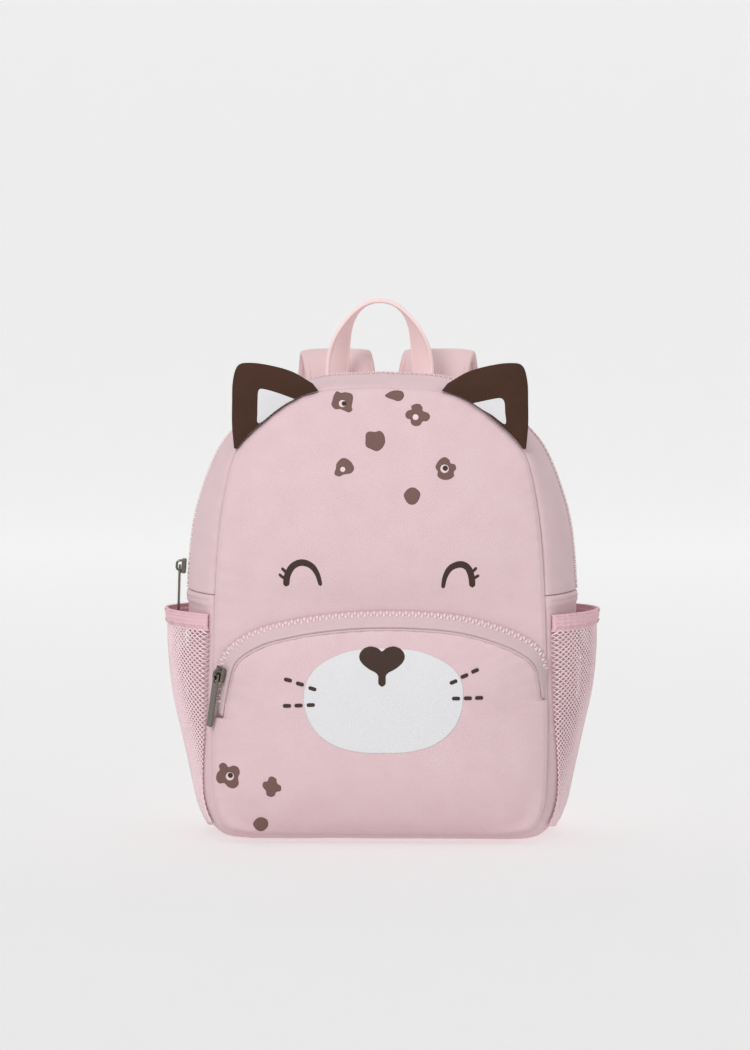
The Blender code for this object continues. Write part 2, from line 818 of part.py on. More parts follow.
def rectangle(width, height, middle=0.0, round_off=0.0):
    corners = []
    for x, y in ((1, 1), (-1, 1), (-1, -1), (1, -1)):
        start = math.atan2(y, x) - math.pi / 4
        for k in range(4 if round_off else 1):
            angle = start + k * math.pi / 6
            corner_x = x * (width / 2 - round_off) + round_off * math.cos(angle)
            corner_y = middle + y * (height / 2 - round_off) + round_off * math.sin(angle)
            corners.append((corner_x, corner_y))
    return corners


def add_buckle(name, matrix, plastic, where):
    slot = (BUCKLE_LENGTH - 3 * BUCKLE_BAR) / 2
    middle = (slot + BUCKLE_BAR) / 2
    opening = BUCKLE_WIDTH - 2 * BUCKLE_BAR
    outlines = [
        rectangle(BUCKLE_WIDTH, BUCKLE_LENGTH, 0.0, BUCKLE_BAR * 0.6),
        rectangle(opening, slot, middle),
        rectangle(opening, slot, -middle),
    ]
    add_flat(name, outlines, BUCKLE_THICKNESS, matrix, plastic, where)


# Zip hardware


def add_slider(name, matrix, metal, where, cutters):
    """A slider's body on the chain, with the bridge that carries its puller."""
    mesh = bpy.data.meshes.new(name)
    body = bmesh.new()
    bmesh.ops.create_cube(body, size=1.0)
    bmesh.ops.scale(body, vec=(SLIDER_WIDTH, SLIDER_LENGTH, SLIDER_HEIGHT), verts=body.verts)
    bmesh.ops.translate(body, vec=(0.0, 0.0, SLIDER_HEIGHT / 2), verts=body.verts)
    body.to_mesh(mesh)
    body.free()
    made = add_object(name, mesh, metal, where, matrix)
    soften = made.modifiers.new("Edges", "BEVEL")
    soften.width = SLIDER_HEIGHT * 0.22
    soften.segments = 2

    curve = bpy.data.curves.new(name + "_bridge", "CURVE")
    curve.dimensions = "3D"
    curve.bevel_depth = BRIDGE_WIRE
    curve.bevel_resolution = 2
    curve.use_fill_caps = True
    line = curve.splines.new("POLY")
    sunk = SLIDER_HEIGHT * 0.5
    line.points.add(len(BRIDGE_TABLE) - 1)
    for point, (along, up) in zip(line.points, BRIDGE_TABLE):
        height = sunk + up * (SLIDER_HEIGHT - sunk + BRIDGE_RISE)
        point.co = (0.0, along * BRIDGE_HALF_SPAN, height, 1.0)
    arch_curve = bpy.data.objects.new(name + "_bridge_curve", curve)
    cutters.objects.link(arch_curve)
    arch_curve.matrix_world = matrix
    bpy.context.view_layer.update()
    solid = bpy.data.meshes.new_from_object(
        arch_curve.evaluated_get(bpy.context.evaluated_depsgraph_get())
    )
    welded = bmesh.new()
    welded.from_mesh(solid)
    bmesh.ops.remove_doubles(welded, verts=welded.verts, dist=1e-6)
    welded.to_mesh(solid)
    welded.free()
    bridge = bpy.data.objects.new(name + "_bridge", solid)
    cutters.objects.link(bridge)
    bridge.matrix_world = arch_curve.matrix_world
    bridge.hide_render = True
    bridge.display_type = "WIRE"
    bpy.data.objects.remove(arch_curve)
    join = made.modifiers.new("Bridge", "BOOLEAN")
    join.operation = "UNION"
    join.object = bridge
    return made


def add_puller(name, slider_matrix, tilt, metal, where):
    """A tab hung on the slider's bridge, its own origin on the rail that turns there."""
    height = SLIDER_HEIGHT + BRIDGE_RISE / 2 - BRIDGE_WIRE / 2
    matrix = slider_matrix @ Matrix.Translation((0.0, 0.0, height)) @ Matrix.Rotation(tilt, 4, "X")
    rail = EYE_RAIL / 2
    length = PULLER_LENGTH + rail
    middle = rail - length / 2
    outline = rectangle(PULLER_WIDTH, length, middle, EYE_RAIL * 0.6)
    hole = rectangle(PULLER_WIDTH - 2 * EYE_RAIL, EYE_LENGTH - 2 * EYE_RAIL, rail - EYE_LENGTH / 2)
    return add_flat(name, [outline, hole], PULLER_THICKNESS, matrix, metal, where)


def build_pocket_hardware(metal, where, cutters):
    place = next(k / 500 for k in range(500) if arch(k / 500)[1] > POCKET_SLIDER_HEIGHT)
    low, high = zip_edges(place)
    before = zip_edges(place - 0.02)
    after = zip_edges(place + 0.02)
    along = (after[0] + after[1] - before[0] - before[1]).normalized()
    across = (low - high).normalized()
    across = (across - along * across.dot(along)).normalized()
    outward = across.cross(along)
    seat = low.lerp(high, 0.5) + outward * (CHAIN_THICKNESS + 2 * GAP)
    matrix = frame_matrix(seat, across, along)
    add_slider("pocket_slider", matrix, metal, where, cutters)
    add_puller("pocket_puller", matrix, POCKET_PULLER_TILT, metal, where)


def build_main_hardware(metal, where, cutters):
    share = -share_where(lambda x, z: z > MAIN_SLIDER_HEIGHT)
    seat = gusset_point(share, MAIN_ZIP_DEEP, CHAIN_THICKNESS + 4 * GAP)
    along = gusset_point(share - 0.01, MAIN_ZIP_DEEP) - gusset_point(share + 0.01, MAIN_ZIP_DEEP)
    across = Vector((0.0, -1.0, 0.0))
    matrix = frame_matrix(seat, across, along)
    add_slider("main_slider", matrix, metal, where, cutters)
    add_puller("main_puller", matrix, MAIN_PULLER_TILT, metal, where)


def build():
    for item in list(bpy.data.objects):
        bpy.data.objects.remove(item, do_unlink=True)
    bag = collection("kids_animal_backpack")
    cutters = collection("cutters")

    pink = material("pink_canvas", 0.78, 0.58, 0.60, 0.9)
    tape = material("zip_tape", 0.74, 0.55, 0.58, 0.9)
    teeth = material("zip_teeth", 0.72, 0.55, 0.58, 0.5)
    net = material("side_net", 0.69, 0.46, 0.51, 0.9)
    binding = material("elastic_binding", 0.74, 0.50, 0.53, 0.85)
    brown = material("brown_canvas", 0.083, 0.035, 0.028, 0.95)
    white = material("white_lining", 0.80, 0.80, 0.81, 0.9)
    webbing = material("webbing", 0.72, 0.47, 0.49, 0.85)
    plastic = material("buckle_plastic", 0.72, 0.47, 0.49, 0.4)
    metal = material("gunmetal", 0.30, 0.28, 0.25, 0.35, 0.9)

    build_gussets(pink, tape, teeth, bag)
    build_front_panel(pink, bag)
    build_back_panel(pink, bag)
    build_pocket(pink, tape, teeth, bag)
    build_handle(webbing, bag)
    for side, name in ((-1, "left"), (1, "right")):
        build_mesh_pocket(side, name, net, binding, bag)
        build_ear(side, name, brown, white, bag)
        build_strap(side, name, pink, webbing, plastic, bag)
    build_pocket_hardware(metal, bag, cutters)
    build_main_hardware(metal, bag, cutters)


build()
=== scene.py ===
# Child's backpack with an animal face: the finish of every sewn and moulded piece,
# built round the fixed frame. Metres, +Z up, the face looks towards -Y.
import json
import math

import bpy
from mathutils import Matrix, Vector, noise
from mathutils.bvhtree import BVHTree

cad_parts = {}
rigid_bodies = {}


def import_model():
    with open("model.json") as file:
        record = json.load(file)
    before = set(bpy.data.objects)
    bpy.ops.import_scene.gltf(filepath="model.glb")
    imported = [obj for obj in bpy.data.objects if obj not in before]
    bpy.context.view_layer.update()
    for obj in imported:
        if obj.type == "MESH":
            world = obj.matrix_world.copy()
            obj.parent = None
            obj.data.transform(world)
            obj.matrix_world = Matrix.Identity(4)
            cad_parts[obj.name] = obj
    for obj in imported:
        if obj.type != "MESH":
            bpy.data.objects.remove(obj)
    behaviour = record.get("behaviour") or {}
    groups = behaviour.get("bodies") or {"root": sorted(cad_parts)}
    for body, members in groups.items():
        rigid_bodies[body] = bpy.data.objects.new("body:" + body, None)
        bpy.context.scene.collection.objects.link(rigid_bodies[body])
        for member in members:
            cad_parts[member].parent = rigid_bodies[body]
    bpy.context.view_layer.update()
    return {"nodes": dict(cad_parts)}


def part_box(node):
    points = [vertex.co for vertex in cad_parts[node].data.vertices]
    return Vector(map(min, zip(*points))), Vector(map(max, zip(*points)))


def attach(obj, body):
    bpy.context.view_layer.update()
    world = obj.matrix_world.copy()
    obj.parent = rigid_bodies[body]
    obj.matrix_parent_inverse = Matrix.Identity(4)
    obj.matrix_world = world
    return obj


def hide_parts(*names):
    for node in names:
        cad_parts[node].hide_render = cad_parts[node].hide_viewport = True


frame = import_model()
nodes = frame["nodes"]
print("frame loaded,", len(nodes), "nodes")

# the sewn body, in metres, with its outline in shares of these sizes
faceLow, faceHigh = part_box("front_panel")
body = {
    "halfWidth": (faceHigh.x - faceLow.x) / 2,
    "height": faceHigh.z - faceLow.z,
    "lift": faceLow.z,
    "depth": 0.098,
    "topSetback": 0.006,
    "sideBulge": 0.0195,
    "backGrow": 0.003,
    "upperDome": 0.013,
    "lowerDome": 0.005,
    "wall": 0.002,
    "gap": 0.0003,
    "joinHeight": 0.162,
}
halfWidth, height, lift, gap = body["halfWidth"], body["height"], body["lift"], body["gap"]
panelMiddle = lift + height / 2

# half of the front seam, from the middle of the bottom to the middle of the top
seamTable = (
    # across, up, bulge
    (0.000, 0.000, 0.45),
    (0.330, 0.000, 0.45),
    (0.640, 0.000, 0.45),
    (0.830, 0.003, 0.46),
    (0.925, 0.018, 0.50),
    (0.975, 0.055, 0.60),
    (0.995, 0.120, 0.74),
    (1.000, 0.270, 0.92),
    (0.990, 0.400, 0.98),
    (0.980, 0.540, 1.00),
    (0.957, 0.671, 0.96),
    (0.925, 0.759, 0.80),
    (0.885, 0.827, 0.62),
    (0.838, 0.866, 0.50),
    (0.735, 0.909, 0.42),
    (0.540, 0.966, 0.36),
    (0.330, 0.993, 0.34),
    (0.000, 1.000, 0.34),
)


def smooth(low, high, value):
    share = min(1.0, max(0.0, (value - low) / (high - low)))
    return share * share * (3 - 2 * share)


def spread(low, high, count):
    return [low + (high - low) * k / (count - 1) for k in range(count)]


def curvePoint(before, start, end, after, t):
    turn = (2 * before - 5 * start + 4 * end - after) * t**2
    turn += (3 * start - before - 3 * end + after) * t**3
    return start + ((end - before) * t + turn) * 0.5


def evenRows(dense, count, measured=2):  # evenly spaced by their first numbers
    lengths = [0.0]
    for first, second in zip(dense, dense[1:]):
        lengths.append(lengths[-1] + math.dist(first[:measured], second[:measured]))
    points, place = [], 0
    for index in range(count):
        target = lengths[-1] * index / (count - 1)
        while place < len(dense) - 2 and lengths[place + 1] < target:
            place += 1
        share = (target - lengths[place]) / (lengths[place + 1] - lengths[place])
        points.append(dense[place].lerp(dense[place + 1], min(1.0, max(0.0, share))))
    return points


def smoothRows(rows, count, measured=2):  # evenly spaced rows on a curve through the given ones
    rows = [Vector(row) for row in rows]
    dense = []
    for index in range(len(rows) - 1):
        start, end = rows[index], rows[index + 1]
        before = rows[index - 1] if index else start * 2 - end
        after = rows[index + 2] if index + 2 < len(rows) else end * 2 - start
        dense += [curvePoint(before, start, end, after, t) for t in spread(0.0, 1.0, 17)[:-1]]
    dense.append(rows[-1])
    return evenRows(dense, count, measured)


def closedCurve(outline, count):  # an even, smooth loop through given points
    loop, dense = [Vector(p) for p in outline], []
    for index in range(len(loop)):
        near = [loop[(index + k) % len(loop)] for k in (-1, 0, 1, 2)]
        dense += [curvePoint(*near, t) for t in spread(0.0, 1.0, 17)[:-1]]
    return evenRows(dense + dense[:1], count + 1)[:-1]


def rowAt(rows, share):
    place = min(1.0, max(0.0, share)) * (len(rows) - 1)
    index = min(int(place), len(rows) - 2)
    return rows[index].lerp(rows[index + 1], place - index)


seamRows = smoothRows([(a * halfWidth, u * height, b) for a, u, b in seamTable], 481)
seamLength = sum(math.dist(a[:2], b[:2]) for a, b in zip(seamRows, seamRows[1:]))


def seamAt(share):  # 0 is the middle of the bottom, 1 and -1 the middle of the top, + is +X
    side = math.copysign(1.0, share)
    here = rowAt(seamRows, abs(share))
    ahead, behind = rowAt(seamRows, abs(share) + 0.006), rowAt(seamRows, abs(share) - 0.006)
    along = Vector((ahead[0] - behind[0], ahead[1] - behind[1])).normalized()
    if abs(share) < 0.003 or abs(share) > 0.997:
        along = Vector((math.copysign(1.0, 0.5 - abs(share)), 0.0))
    outward = Vector((side * along[1], 0.0, -along[0]))
    return side * here[0], here[1] + lift, here[2], outward


def shareWhere(test):
    return next(k / 4000 for k in range(4000) if test(*seamAt(k / 4000)[:2]))


def frontY(z):
    return -body["depth"] / 2 + body["topSetback"] * smooth(0.55, 1.0, (z - lift) / height)


def faceY(x, z, ring):  # depth of the face panel at a share of the way out to its seam
    blend = smooth(0.33, 0.68, (z - lift) / height)
    dome = body["lowerDome"] + (body["upperDome"] - body["lowerDome"]) * blend
    return frontY(z) - dome * max(0.0, 1 - ring**2.4) ** 0.8


def gussetPoint(share, deep, out=0.0):
    x, z, bulge, outward = seamAt(share)
    swell = math.sin(math.pi * min(1.0, max(0.0, deep))) ** 0.75
    grow = body["backGrow"] + (lift - body["backGrow"]) * max(0.0, -outward.z)
    reach = body["sideBulge"] * bulge * swell + grow * deep + out
    start = frontY(z) + body["wall"] + gap
    y = start + (body["depth"] / 2 - start) * deep
    floor = -out if out < 0 else 0.0
    return Vector((x + outward.x * reach, y, max(floor, z + outward.z * reach)))


def soft(x, y, z, grain):  # smooth unevenness between -1 and 1 at a real size
    return noise.noise(Vector((x, y, z)) / grain)


# mesh building

def newObject(name, data):
    made = bpy.data.objects.new(name, data)
    bpy.context.scene.collection.objects.link(made)
    return made


def meshPiece(name, points, faces, material, cloth=None, angle=50):
    mesh = bpy.data.meshes.new(name)
    mesh.from_pydata([tuple(p) for p in points], [], faces)
    if cloth:
        attribute = mesh.attributes.new("cloth", "FLOAT_VECTOR", "POINT")
        attribute.data.foreach_set("vector", [number for c in cloth for number in (c[0], c[1], 0.0)])
    mesh.validate()
    mesh.shade_smooth()
    mesh.set_sharp_from_angle(angle=math.radians(angle))
    mesh.materials.append(material)
    return newObject(name, mesh)


def gridFaces(rows, columns, flip=False, start=0, wrap=False):
    faces = []
    for i in range(rows - 1):
        for j in range(columns if wrap else columns - 1):
            after = (j + 1) % columns
            face = (i * columns + j, i * columns + after, (i + 1) * columns + after, (i + 1) * columns + j)
            face = tuple(start + corner for corner in face)
            faces.append(face[::-1] if flip else face)
    return faces


def addWall(piece, thickness):
    wall = piece.modifiers.new("Wall", "SOLIDIFY")
    wall.thickness = thickness
    wall.offset = -1.0
    wall.use_even_offset = False
    return piece


def gridSheet(name, rows, thickness, material, flip=False):
    points = [point for row in rows for point in row]
    cloth, down = [], 0.0
    for i, row in enumerate(rows):
        middle = len(row) // 2
        down += (row[middle] - rows[i - 1][middle]).length if i else 0.0
        across = 0.0
        for j, point in enumerate(row):
            across += (point - row[j - 1]).length if j else 0.0
            cloth.append((across, down))
    piece = meshPiece(name, points, gridFaces(len(rows), len(rows[0]), flip), material, cloth)
    return addWall(piece, thickness)


def discSheet(name, pointAt, middle, places, ringCount, thickness, material):  # rings crowd at the seam
    points, sides = [pointAt(middle, 0.0)], len(places)
    for i in range(ringCount):
        share = 1 - (1 - (i + 1) / ringCount) ** 1.3
        points += [pointAt(place, share) for place in places]
    faces = [(0, 1 + j, 1 + (j + 1) % sides) for j in range(sides)]
    faces += gridFaces(ringCount, sides, True, 1, wrap=True)
    cloth = [(point.x, point.z) for point in points]
    return addWall(meshPiece(name, points, faces, material, cloth), thickness)


# materials

def linear(hexColour):
    channels = [int(hexColour[k:k + 2], 16) / 255 for k in (1, 3, 5)]
    return tuple(c / 12.92 if c <= 0.04045 else ((c + 0.055) / 1.055) ** 2.4 for c in channels) + (1.0,)


def addNode(tree, kind, settings=None, links=None):
    node = tree.nodes.new(kind)
    for key, value in (settings or {}).items():
        if isinstance(key, int) or key in node.inputs:
            node.inputs[key].default_value = value
        else:
            setattr(node, key, value)
    for key, source in (links or {}).items():
        tree.links.new(source, node.inputs[key])
    return node


def newMaterial(name, surface):
    made = bpy.data.materials.new(name)
    made.use_nodes = True
    shader = made.node_tree.nodes["Principled BSDF"]
    for socket, value in surface.items():
        shader.inputs[socket].default_value = value
    return made, made.node_tree, shader


def wovenMaterial(name, colours, threadMm, relief, surface):
    # plain weave: warp and weft humps alternate, and every thread varies a little in colour
    made, tree, shader = newMaterial(name, surface)
    place = addNode(tree, "ShaderNodeAttribute", {"attribute_name": "cloth"}).outputs["Vector"]
    split = addNode(tree, "ShaderNodeSeparateXYZ", None, {0: place})
    perMetre = math.pi / (threadMm * 0.001)
    waves = []
    for axis in (0, 1):
        turn = addNode(
            tree, "ShaderNodeMath", {"operation": "MULTIPLY", 1: perMetre}, {0: split.outputs[axis]}
        )
        waves.append(addNode(tree, "ShaderNodeMath", {"operation": "SINE"}, {0: turn.outputs[0]}))
    weave = addNode(
        tree, "ShaderNodeMath", {"operation": "MULTIPLY"}, {0: waves[0].outputs[0], 1: waves[1].outputs[0]}
    )
    slub = addNode(tree, "ShaderNodeTexNoise", {"Scale": 900.0, "Detail": 2.0}, {"Vector": place})
    grain = addNode(
        tree, "ShaderNodeMath", {"operation": "MULTIPLY_ADD", 1: 0.6},
        {0: slub.outputs[0], 2: weave.outputs[0]},
    )
    bump = addNode(
        tree, "ShaderNodeBump", {"Strength": relief, "Distance": 0.0002}, {"Height": grain.outputs[0]}
    )
    mottle = addNode(tree, "ShaderNodeTexNoise", {"Scale": 60.0, "Detail": 3.0}, {"Vector": place})
    dirt = addNode(
        tree, "ShaderNodeMath", {"operation": "MULTIPLY_ADD", 1: 0.30, 2: 0.5}, {0: weave.outputs[0]}
    )
    shade = addNode(
        tree, "ShaderNodeMath", {"operation": "MULTIPLY"}, {0: dirt.outputs[0], 1: mottle.outputs[0]}
    )
    colour = addNode(
        tree, "ShaderNodeMix",
        {"data_type": "RGBA", 6: linear(colours[0]), 7: linear(colours[1])},
        {0: shade.outputs[0]},
    )
    tree.links.new(colour.outputs[2], shader.inputs["Base Color"])
    tree.links.new(bump.outputs[0], shader.inputs["Normal"])
    return made


cloth = {"Roughness": 0.86, "Sheen Weight": 0.12, "Sheen Roughness": 0.5, "Specular IOR Level": 0.25}
darkCloth = {"Roughness": 0.90, "Sheen Weight": 0.04, "Sheen Roughness": 0.5, "Specular IOR Level": 0.15}
ink = {"Roughness": 0.62, "Specular IOR Level": 0.30}

# 600-denier polyester oxford, plain woven: thread spacing 0.5 mm, drawn at 0.75 mm so that it shows
pinkOxford = wovenMaterial("pinkOxfordWoven", ("#e1c7cb", "#d3b0b6"), 0.75, 0.30, cloth)
# the same oxford, painted a shade paler for the straps: painted light that makes up for the light they lack
# behind the bag
paintedLightOxford = wovenMaterial("pinkOxfordPaintedLight", ("#e6cccd", "#dab8ba"), 0.75, 0.30, cloth)
brownOxford = wovenMaterial("brownOxfordWoven", ("#4b3329", "#3a261d"), 0.75, 0.35, darkCloth)
# zip tape, a finer and flatter weave that looks paler and smoother than the oxford
zipTape = wovenMaterial("polyesterZipTapeWoven", ("#d7c0c3", "#caadb1"), 0.55, 0.25, cloth)
# narrow webbing and knitted elastic have coarser ribs
webbing = wovenMaterial("polyesterWebbingWoven", ("#fbe4e3", "#efd2d1"), 1.1, 0.45, cloth)
elastic = wovenMaterial("elasticBindingKnitted", ("#e9c2c8", "#dcaab3"), 0.9, 0.35, cloth)
netYarn = wovenMaterial("polyesterNetKnitted", ("#ffe8ed", "#ffd8df"), 0.45, 0.30, cloth)
# plastisol ink, screen printed: a thin matt film that lets the weave show through
whiteInk = wovenMaterial("whiteInkScreenPrinted", ("#e2e2e4", "#d8d8db"), 0.75, 0.16, ink)
paleInk = wovenMaterial("palePinkInkScreenPrinted", ("#ecd9db", "#e2ccd0"), 0.75, 0.16, ink)
darkInk = wovenMaterial("darkBrownInkScreenPrinted", ("#432f27", "#38251e"), 0.75, 0.16, ink)
taupeInk = wovenMaterial("taupeInkScreenPrinted", ("#785a55", "#6c4e49"), 0.75, 0.16, ink)


def plainMaterial(name, colours, noiseMm, relief, surface, edgeMm=0.1):
    # a solid surface whose tone and gloss vary a little from place to place
    made, tree, shader = newMaterial(name, surface)
    place = addNode(tree, "ShaderNodeTexCoord").outputs["Object"]
    grain = addNode(tree, "ShaderNodeTexNoise", {"Scale": 1000 / noiseMm, "Detail": 4.0}, {"Vector": place})
    colour = addNode(
        tree, "ShaderNodeMix", {"data_type": "RGBA", 6: linear(colours[0]), 7: linear(colours[1])},
        {0: grain.outputs[0]},
    )
    rough = addNode(
        tree, "ShaderNodeMapRange",
        {"To Min": surface["Roughness"] * 0.8, "To Max": surface["Roughness"] * 1.25}, {0: grain.outputs[0]},
    )
    edge = addNode(tree, "ShaderNodeBevel", {"samples": 8, "Radius": edgeMm * 0.001})
    bump = addNode(
        tree, "ShaderNodeBump", {"Strength": relief, "Distance": 0.0001},
        {"Height": grain.outputs[0], "Normal": edge.outputs[0]},
    )
    tree.links.new(colour.outputs[2], shader.inputs["Base Color"])
    tree.links.new(rough.outputs[0], shader.inputs["Roughness"])
    tree.links.new(bump.outputs[0], shader.inputs["Normal"])
    return made


# polyacetal, injection moulded: satin, with a faint flow mottle
mouldedTeeth = plainMaterial("acetalTeethMoulded", ("#ecd6d9", "#e2c8cc"), 3.0, 0.05, {"Roughness": 0.38})
mouldedBuckle = plainMaterial(
    "acetalBuckleMoulded", ("#e0bcc0", "#d6aeb3"), 4.0, 0.05, {"Roughness": 0.36}, 0.5
)
# zinc, die cast and gunmetal plated: a dark mirror softened by handling
platedZinc = plainMaterial(
    "zincDieCastGunmetalPlated", ("#8a857a", "#77726a"), 1.2, 0.08, {"Roughness": 0.24, "Metallic": 1.0}, 0.7
)
# polyester core-spun thread, twisted: a little glossier than the cloth
sewingThread = plainMaterial("polyesterThreadTwisted", ("#e8ccd0", "#d9b6bb"), 0.6, 0.30, {"Roughness": 0.6})
print("materials made")


# seams, stitches and teeth

seamwork = {
    "rollDepth": 0.0013,
    "rollWidth": 0.0030,
    "puckerDepth": 0.00045,
    "puckerLength": 0.0115,
    "puckerReach": 0.009,
    "unevenness": 0.00045,
    "unevenGrain": 0.045,
}


def seamDip(toSeam, along):  # how far the cloth is drawn in near a seam, with its puckers
    roll = seamwork["rollDepth"] * (1 - smooth(0.0, seamwork["rollWidth"], toSeam))
    wander = 2.5 * noise.noise(Vector((along / 0.03, 0.7, 0.2)))
    wave = math.sin(2 * math.pi * along / seamwork["puckerLength"] + wander)
    strength = 0.5 + 0.5 * noise.noise(Vector((along / 0.05, 3.1, 0.4)))
    return roll + seamwork["puckerDepth"] * strength * wave * math.exp(-toSeam / seamwork["puckerReach"])


stitch = {
    "pitch": 0.0034, "length": 0.0027, "radius": 0.00024, "sunk": 0.95, "fromEdge": 0.0034,
    "rings": 5, "sides": 6,
}


def alongPath(path, pitch):  # (point, normal, direction) at even steps along (point, normal) pairs
    lengths = [0.0]
    for first, second in zip(path, path[1:]):
        lengths.append(lengths[-1] + (second[0] - first[0]).length)
    count = max(1, int(lengths[-1] / pitch))
    places, index = [], 0
    for k in range(count):
        target = lengths[-1] * (k + 0.5) / count
        while index < len(path) - 2 and lengths[index + 1] < target:
            index += 1
        share = (target - lengths[index]) / (lengths[index + 1] - lengths[index])
        point = path[index][0].lerp(path[index + 1][0], share)
        normal = path[index][1].lerp(path[index + 1][1], share).normalized()
        places.append((point, normal, (path[index + 1][0] - path[index][0]).normalized()))
    return places


def stitchRow(name, paths):
    points, faces = [], []
    for path in paths:
        for point, normal, along in alongPath(path, stitch["pitch"]):
            side = along.cross(normal).normalized()
            start = len(points)
            for share in spread(0.0, 1.0, stitch["rings"]):
                middle = point + along * (share - 0.5) * stitch["length"]
                middle += normal * stitch["radius"] * (1.3 * math.sin(math.pi * share) - stitch["sunk"])
                for k in range(stitch["sides"]):
                    turn = 2 * math.pi * k / stitch["sides"]
                    aside = side * math.cos(turn) + normal * math.sin(turn)
                    points.append(middle + aside * stitch["radius"])
            faces += gridFaces(stitch["rings"], stitch["sides"], False, start, wrap=True)
    return meshPiece(name, points, faces, sewingThread, angle=80)


def toothShape(size):  # a rounded tooth seen from above: x along the zip, y across it, z out of it
    points, levels, sides = [], ((0.0, 1.0), (0.55, 1.0), (0.85, 0.88), (1.0, 0.66)), 10
    for level, inset in levels:
        for k in range(sides):
            turn = 2 * math.pi * (k + 0.5) / sides
            x = math.copysign(abs(math.cos(turn)) ** 0.6, math.cos(turn)) * size["width"] / 2 * inset
            y = math.copysign(abs(math.sin(turn)) ** 0.6, math.sin(turn)) * size["reach"] / 2 * inset
            points.append((x, y, size["height"] * level))
    faces = gridFaces(len(levels), sides, False, 0, wrap=True)
    faces.append(tuple(range(len(points) - sides, len(points))))
    return points, faces


def zipTeeth(name, path, size):
    # two rows of teeth that mesh, each a tooth's half pitch ahead of the other
    shapePoints, shapeFaces = toothShape(size)
    points, faces = [], []
    for index, (point, normal, along) in enumerate(alongPath(path, size["pitch"] / 2)):
        side = normal.cross(along).normalized()
        offset = side * size["offset"] * (1 if index % 2 else -1)
        start = len(points)
        points += [point + offset + along * x + side * y + normal * z for x, y, z in shapePoints]
        faces += [tuple(start + corner for corner in face) for face in shapeFaces]
    return meshPiece(name, points, faces, mouldedTeeth, angle=40)


def facing(surface, u, v, stepU, stepV):  # a surface's point and its outward direction
    point = surface(u, v)
    acrossU = surface(u + stepU, v) - surface(u - stepU, v)
    acrossV = surface(u, v + stepV) - surface(u, v - stepV)
    return point, acrossU.cross(acrossV).normalized()


# the face panel

face = {"rings": 88, "sides": 440, "cloth": 0.0012}
# soft dents and swells in the face: place and size in metres, turn in degrees, + is pressed in
faceFolds = (
    # x, z, length, width, turn, depth
    (0.000, 0.158, 0.090, 0.012, 0, 0.0012),
    (-0.088, 0.175, 0.030, 0.010, 70, 0.0008),
    (0.090, 0.180, 0.034, 0.010, -75, 0.0012),
    (0.060, 0.262, 0.020, 0.007, -35, 0.0008),
    (-0.062, 0.264, 0.018, 0.007, 35, 0.0007),
)


def foldDepth(folds, x, z):
    depth = 0.0
    for foldX, foldZ, length, width, turn, deep in folds:
        angle = math.radians(turn)
        along = (x - foldX) * math.cos(angle) + (z - foldZ) * math.sin(angle)
        across = (z - foldZ) * math.cos(angle) - (x - foldX) * math.sin(angle)
        depth += deep * math.exp(-((along / length) ** 2) - (across / width) ** 2)
    return depth


def facePoint(share, ring):
    x, z = seamAt(share)[:2]
    toSeam = (1 - ring) * math.hypot(x, z - panelMiddle)
    x, z = x * ring, panelMiddle + (z - panelMiddle) * ring
    y = faceY(x, z, ring) + seamDip(toSeam, share * seamLength) + foldDepth(faceFolds, x, z)
    return Vector((x, y + seamwork["unevenness"] * soft(x, 0.3, z, seamwork["unevenGrain"]), z))


def finishPiece(piece, slotName, *replaced):
    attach(piece, "bag")
    if replaced:
        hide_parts(*replaced)
    return piece


def sewnSheet(piece, *restsOn):
    spots = [value.vector for value in piece.data.attributes["cloth"].data]
    width = max(s[0] for s in spots) - min(s[0] for s in spots)
    length = max(s[1] for s in spots) - min(s[1] for s in spots)
    area = sum(polygon.area for polygon in piece.data.polygons)
    length = max(length, area / width)
    return piece


places = [-1 + 2 * j / face["sides"] for j in range(face["sides"])]
facePanel = discSheet("facePanel", facePoint, 0.5, places, face["rings"], face["cloth"], pinkOxford)
sewnSheet(finishPiece(facePanel, "canvas", "front_panel"), "gussetFront", "gussetLower")


def surfaceTree(piece):  # for laying prints on a piece's outer side
    mesh = piece.data
    corners = [vertex.co.copy() for vertex in mesh.vertices]
    return BVHTree.FromPolygons(corners, [tuple(polygon.vertices) for polygon in mesh.polygons])


faceTree = surfaceTree(facePanel)
print("face panel sewn")


# the gussets and the main zip

gusset = {
    "columns": 44,
    "rowsUpper": 420,
    "rowsLower": 460,
    "cloth": 0.0012,
    "zipWidth": 0.015,
    "lip": 0.0007,
    "lipWidth": 0.0016,
    "hem": 0.0011,
    "hemWidth": 0.0085,
    "hemRound": 0.0012,
}
joinShare = shareWhere(lambda x, z: z > body["joinHeight"])
joinGap = gap / seamLength
zipHalf = gusset["zipWidth"] / body["depth"] / 2


def upperShares(count):
    reach = 1 - joinShare - joinGap
    return [math.copysign(1 - abs(k), k) for k in spread(reach, -reach, count)]


def gussetDip(share, deep):
    along = share * seamLength
    dip = seamDip(deep * body["depth"], along) + seamDip((1 - deep) * body["depth"], along + 0.2)
    x, z = seamAt(share)[:2]
    return dip + seamwork["unevenness"] * 1.4 * soft(x * 0.6 + 0.4, deep * body["depth"], z, 0.03)


def upperSurface(share, deep):  # the strips beside the main zip, turned under along it
    toZip = (abs(deep - 0.5) - zipHalf) * body["depth"]
    lip = gusset["lip"] * math.sqrt(max(0.0, 1 - (1 - min(1.0, max(0.0, toZip) / gusset["lipWidth"])) ** 2))
    nearSeam = 1 - smooth(0.2, 0.45, deep) * smooth(0.8, 0.55, deep)
    return gussetPoint(share, deep, lip - gussetDip(share, deep) * nearSeam)


